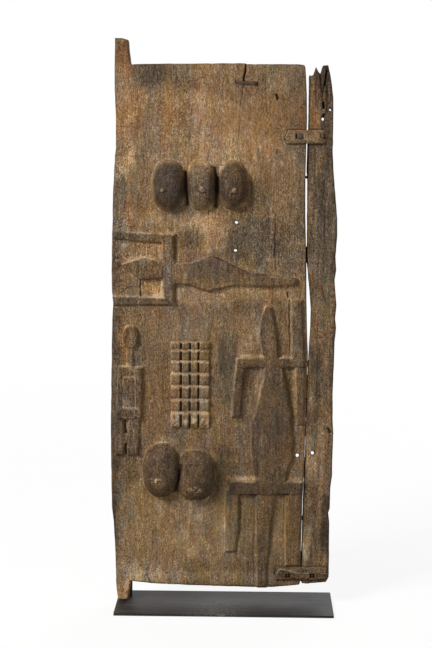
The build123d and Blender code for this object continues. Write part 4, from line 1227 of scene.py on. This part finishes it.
def wood(name, grain_axis):
    """Old weathered wood: fibres, pits, patina and worn lighter places; the tone mark also holds painted
    highlights.
    """
    s = Shader(name)
    turn = (lambda k: (k, 1, 1)) if grain_axis == "x" else (lambda k: (1, 1, k))
    fibre = s.noise(265, turn(0.08), 4, 0.68)
    speck = s.noise(375, turn(0.7), 3, 0.65)
    curls = s.noise(170, turn(0.7), 3, 0.6, 1.6)
    holes = s.spread(s.noise(240, turn(0.5), 3, 0.6, 0.8), 0.58, 0.68)
    blotch = s.noise(24, turn(0.6), 5, 0.62)
    detail = s.times(holes, -0.2)
    for part, amount in ((fibre, 0.14), (speck, 0.27), (curls, 0.2)):
        detail = s.plus(detail, s.swing(part, 0.3, 0.7, amount))
    threads = []
    for scale, along, amount in ((75, 0.5, 0.06), (100, 0.6, 0.13)):
        crossing = s.math("ABSOLUTE", s.math("SUBTRACT", s.noise(scale, turn(along), 2, 0.5, 1.0), 0.5))
        threads.append(s.spread(crossing, 0.0, 0.045, amount, -0.25 * amount))
    threads = s.math("SUBTRACT", *threads)
    detail = s.times(s.plus(detail, threads), s.plus(s.mark("grit"), 1.0))
    tone = s.plus(s.mark("tone"), s.plus(detail, s.swing(blotch, 0.3, 0.7, 0.035)))
    colour = s.ramp(tone, [
        (0.0, linear(48, 31, 15)), (0.25, linear(86, 65, 42)), (0.5, linear(123, 98, 70)),
        (0.75, linear(160, 131, 98)), (1.0, linear(212, 186, 150)),
    ])
    warmth = s.mark("warm")
    warm = s.times(warmth, s.spread(s.noise(60, turn(0.1)), 0.35, 0.65, 0.2, 1.0), True)
    colour = s.tinted(s.times(warm, 0.6), colour, (255, 200, 155))
    cool = s.times(warmth, -1.0)
    rosy = s.mark("rosy")
    for scale, along, amount, other in ((11, 0.5, 0.14, 0.7), (46, 0.4, 0.24, 0.5), (250, 0.35, 0.12, 0.3)):
        rosy = s.plus(rosy, s.swing(s.noise(scale, turn(along), 3, 0.6, 0.4), 0.36, 0.64, amount))
        tint = s.noise(scale * 1.3, turn(along * 0.8), 3, 0.6, 0.6)
        cool = s.plus(cool, s.swing(tint, 0.36, 0.64, other))
    for value, sign, tint in (
        (detail, 3.0, (240, 255, 278)), (detail, -3.0, (280, 255, 202)),
        (rosy, 1.0, (255, 230, 228)), (rosy, -1.0, (240, 255, 220)),
        (cool, 1.0, (217, 231, 255)), (cool, -1.0, (255, 246, 214)),
    ):
        colour = s.tinted(s.times(value, sign, True), colour, tint)
    # Painted shade from the shade mark: in cracks, slots, notches, the seam and the seats, and at the feet
    # and shadowed sides of the figures.
    colour = s.tinted(s.mark("shade"), colour, (88, 67, 47))
    relief = threads
    for part, amount in ((fibre, 0.6), (speck, 0.9), (curls, 1.3), (holes, -0.8)):
        relief = s.plus(relief, s.times(part, amount))
    s.bump(relief, 0.9, 0.0015)
    return s.finish(colour, s.spread(tone, 0.1, 0.9, 0.56, 0.84), 0.22)


def iron(name, base, rust):
    """Hand-forged iron, dark with rust in its pits."""
    s = Shader(name)
    coarse = s.noise(90, detail=4)
    fine = s.noise(420)
    colour = s.mix(s.spread(coarse, 0.42, 0.6), linear(*base), linear(*rust))
    colour = s.mix(s.spread(fine, 0.35, 0.7, 0, 0.5), colour, linear(22, 19, 18))
    dust = s.times(s.mark("dusty"), s.spread(fine, 0.3, 0.7, 0.5, 1.0), True)
    colour = s.mix(dust, colour, linear(84, 74, 60))
    s.bump(s.plus(coarse, s.times(fine, 0.4)), 0.6, 0.0009)
    return s.finish(colour, s.spread(coarse, 0.3, 0.7, 0.55, 0.8), 0.2)


def steel(name, low, high, metallic, rough, scale, worn=0.0):
    """Sheet or bar steel with a dark finish, faintly cloudy, and worn where asked for."""
    s = Shader(name)
    cloud = s.noise(scale, detail=5)
    lines = s.noise(300, (0.03, 1, 1))
    value = s.plus(s.spread(cloud, 0.3, 0.7), s.swing(lines, 0.3, 0.7, 0.2))
    colour = s.ramp(value, [(0.0, linear(*low)), (1.0, linear(*high))])
    if worn:
        # A darker right end, streaks along the plate, and pale scuffs in front of its middle.
        split = s.add("ShaderNodeSeparateXYZ")
        s.put(split.inputs[0], s.place)
        x, y = split.outputs[0], split.outputs[1]
        end = s.plus(s.spread(x, 0.02, 0.26), s.swing(cloud, 0.3, 0.7, 0.3), True)
        colour = s.tinted(s.times(end, worn), colour, (122, 119, 118))
        streaks = s.noise(130, (0.05, 1, 1), 4, 0.65)
        colour = s.mix(s.spread(streaks, 0.5, 0.72), colour, linear(24, 20, 19))
        colour = s.mix(s.spread(streaks, 0.48, 0.3, 0.0, 0.35), colour, linear(84, 80, 78))
        middle = s.math("ABSOLUTE", s.plus(x, 0.012))
        scuffs = s.times(s.spread(middle, 0.0, 0.09, 1.0, 0.0), s.spread(y, -0.1, 0.05, 1.0, 0.2))
        flecks = s.spread(s.noise(260, (0.4, 1, 1), 4, 0.75, 0.6), 0.46, 0.6)
        colour = s.mix(s.times(s.times(scuffs, flecks), 0.85), colour, linear(118, 114, 110))
    s.bsdf.inputs["Metallic"].default_value = metallic
    s.bump(s.plus(s.times(lines, 0.5), s.noise(900, detail=2)), 0.12, 0.0003)
    return s.finish(colour, s.spread(value, 0.0, 1.0, rough - 0.07, rough + 0.07), 0.22)


def felt(name):
    """Dark felt, for the pads under the plate."""
    s = Shader(name)
    fuzz = s.noise(1500)
    s.bump(fuzz, 0.6, 0.0006)
    return s.finish(s.ramp(fuzz, [(0.3, linear(28, 28, 30)), (0.7, linear(64, 62, 62))]), 0.95, 0.5)


plank_wood = wood("old_plank_wood", "z")
side_wood = wood("old_side_wood", "z")
cleat_wood = wood("old_cleat_wood", "x")
old_iron = iron("forged_iron", (58, 47, 38), (86, 67, 50))
stand_steel = steel("dark_stand_steel", (26, 21, 19), (47, 41, 38), 0.0, 0.55, 7, 0.8)
bare_steel = steel("bare_steel", (120, 118, 116), (168, 166, 163), 0.9, 0.36, 60)
brass = steel("brass_washer", (150, 118, 62), (196, 160, 92), 0.9, 0.34, 80)
pads = felt("dark_felt")

# What is made here: object, material, slot, and the CAD node that it stands for.
MADE = [
    (main_plank, plank_wood, "plank_wood", "main_plank"),
    (side_plank, side_wood, "side_wood", "side_plank"),
    (upper_cleat, cleat_wood, "cleat_wood", "upper_cleat"),
    (lower_cleat, cleat_wood, "cleat_wood", "lower_cleat"),
    (upper_staple, old_iron, "old_iron", "upper_cleat_staple"),
    (lower_staple, old_iron, "old_iron", "lower_cleat_staple"),
    (crack_staple, old_iron, "old_iron", "crack_staple"),
]
for made, material, slot, node in MADE:
    made.data.materials.append(material)
    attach(made, "door")
    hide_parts(node)

# The CAD nodes that are shown as they are, and their materials.
KEPT = {
    "upper_dowel": old_iron, "lower_dowel": old_iron, "upper_eye_bracket": stand_steel,
    "lower_fork_bracket": stand_steel, "upper_bracket_screws": bare_steel,
    "lower_bracket_screws": bare_steel, "thrust_washer": brass, "base_plate": stand_steel,
    "felt_pads": pads, "upright_post": stand_steel, "post_screw": bare_steel,
    "support_collar": stand_steel, "collar_pin": bare_steel,
}
for node, material in KEPT.items():
    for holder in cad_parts[node].material_slots:
        holder.material = material

# ---------------------------------------------------------------- floor, light and camera

SKY = 0.24
WHITE = (1, 1, 1, 1)
FLOOR = [(-9, -9, -0.0004), (9, -9, -0.0004), (9, 9, -0.0004), (-9, 9, -0.0004)]
floor_mesh = bpy.data.meshes.new("floor")
floor_mesh.from_pydata(FLOOR, [], [(0, 1, 2, 3)])
floor = add_object("floor", floor_mesh)
paint = Shader("pale_floor")
grain = paint.noise(3)
glow = paint.add("ShaderNodeEmission", Color=WHITE)
path = paint.add("ShaderNodeLightPath")
seen = paint.math("MAXIMUM", path.outputs["Is Camera Ray"], path.outputs["Is Glossy Ray"])
pale = paint.ramp(grain, [(0.0, linear(232, 231, 229)), (1.0, linear(244, 243, 241))])
dull = paint.ramp(grain, [(0.0, linear(168, 167, 165)), (1.0, linear(180, 179, 177))])
paint.put(paint.bsdf.inputs["Base Color"], paint.mix(seen, dull, pale))
paint.bsdf.inputs["Roughness"].default_value = 0.9
length = paint.add("ShaderNodeVectorMath")
length.operation = "LENGTH"
paint.put(length.inputs[0], paint.place)
part = paint.times(seen, paint.spread(length.outputs["Value"], 0.6, 4.0, 0.88, 1.0))
blend = paint.add("ShaderNodeMixShader")
for socket, value in zip(blend.inputs, (part, paint.bsdf.outputs[0], glow.outputs[0])):
    paint.put(socket, value)
paint.put(paint.output.inputs[0], blend.outputs[0])
floor_mesh.materials.append(paint.material)

# The camera, reflections and clear things see a white sky. It lights the rest less.
world = bpy.data.worlds.new("studio")
bpy.context.scene.world = world
studio = Nodes(world)
path = studio.add("ShaderNodeLightPath")
seen = path.outputs["Is Camera Ray"]
for name in ("Is Glossy Ray", "Is Transmission Ray"):
    seen = studio.math("MAXIMUM", seen, path.outputs[name])
sky = studio.add("ShaderNodeBackground", Color=WHITE, Strength=studio.spread(seen, 0.0, 1.0, SKY, 1.0))
studio.add("ShaderNodeOutputWorld", Surface=sky.outputs[0])


def area_light(name, spot, target, size, watts):
    lamp = bpy.data.lights.new(name, "AREA")
    lamp.shape = "SQUARE"
    lamp.size = size
    lamp.energy = watts
    holder = add_object(name, lamp)
    holder.location = spot
    aim = Vector(target) - Vector(spot)
    holder.rotation_euler = aim.to_track_quat("-Z", "Y").to_euler()


area_light("key", (-3.1, -3.0, 3.6), (0, 0, 0.8), 1.5, 326)
area_light("fill", (1.2, -4.6, 1.6), (0, 0, 0.75), 2.2, 18)
area_light("rear", (1.6, 3.6, 2.8), (0, 0, 0.8), 2.2, 80)

# The camera: placed by the corners of the base plate and by the scale of the door.
CAMERA_PLACE = Vector((75.9, -3972.6, 1282.9)) * MM
YAW = math.radians(-1.39)
PITCH = math.radians(4.0)
ROLL = math.radians(0.23)
LENS = 83.56
SENSOR = 36.0
SHIFT = -0.1399
ahead = Vector((math.sin(YAW) * math.cos(PITCH), math.cos(YAW) * math.cos(PITCH), -math.sin(PITCH)))
right = Vector((math.cos(YAW), -math.sin(YAW), 0))
up = right.cross(ahead)
right, up = (
    right * math.cos(ROLL) + up * math.sin(ROLL),
    up * math.cos(ROLL) - right * math.sin(ROLL),
)
camera_data = bpy.data.cameras.new("camera")
camera_data.lens = LENS
camera_data.sensor_width = SENSOR
camera_data.shift_y = SHIFT
camera = add_object("camera", camera_data)
axes = Matrix((right, up, -ahead)).transposed().to_4x4()
camera.matrix_world = Matrix.Translation(CAMERA_PLACE) @ axes
bpy.context.scene.camera = camera
bpy.context.scene.view_settings.view_transform = "Standard"

bpy.context.view_layer.update()
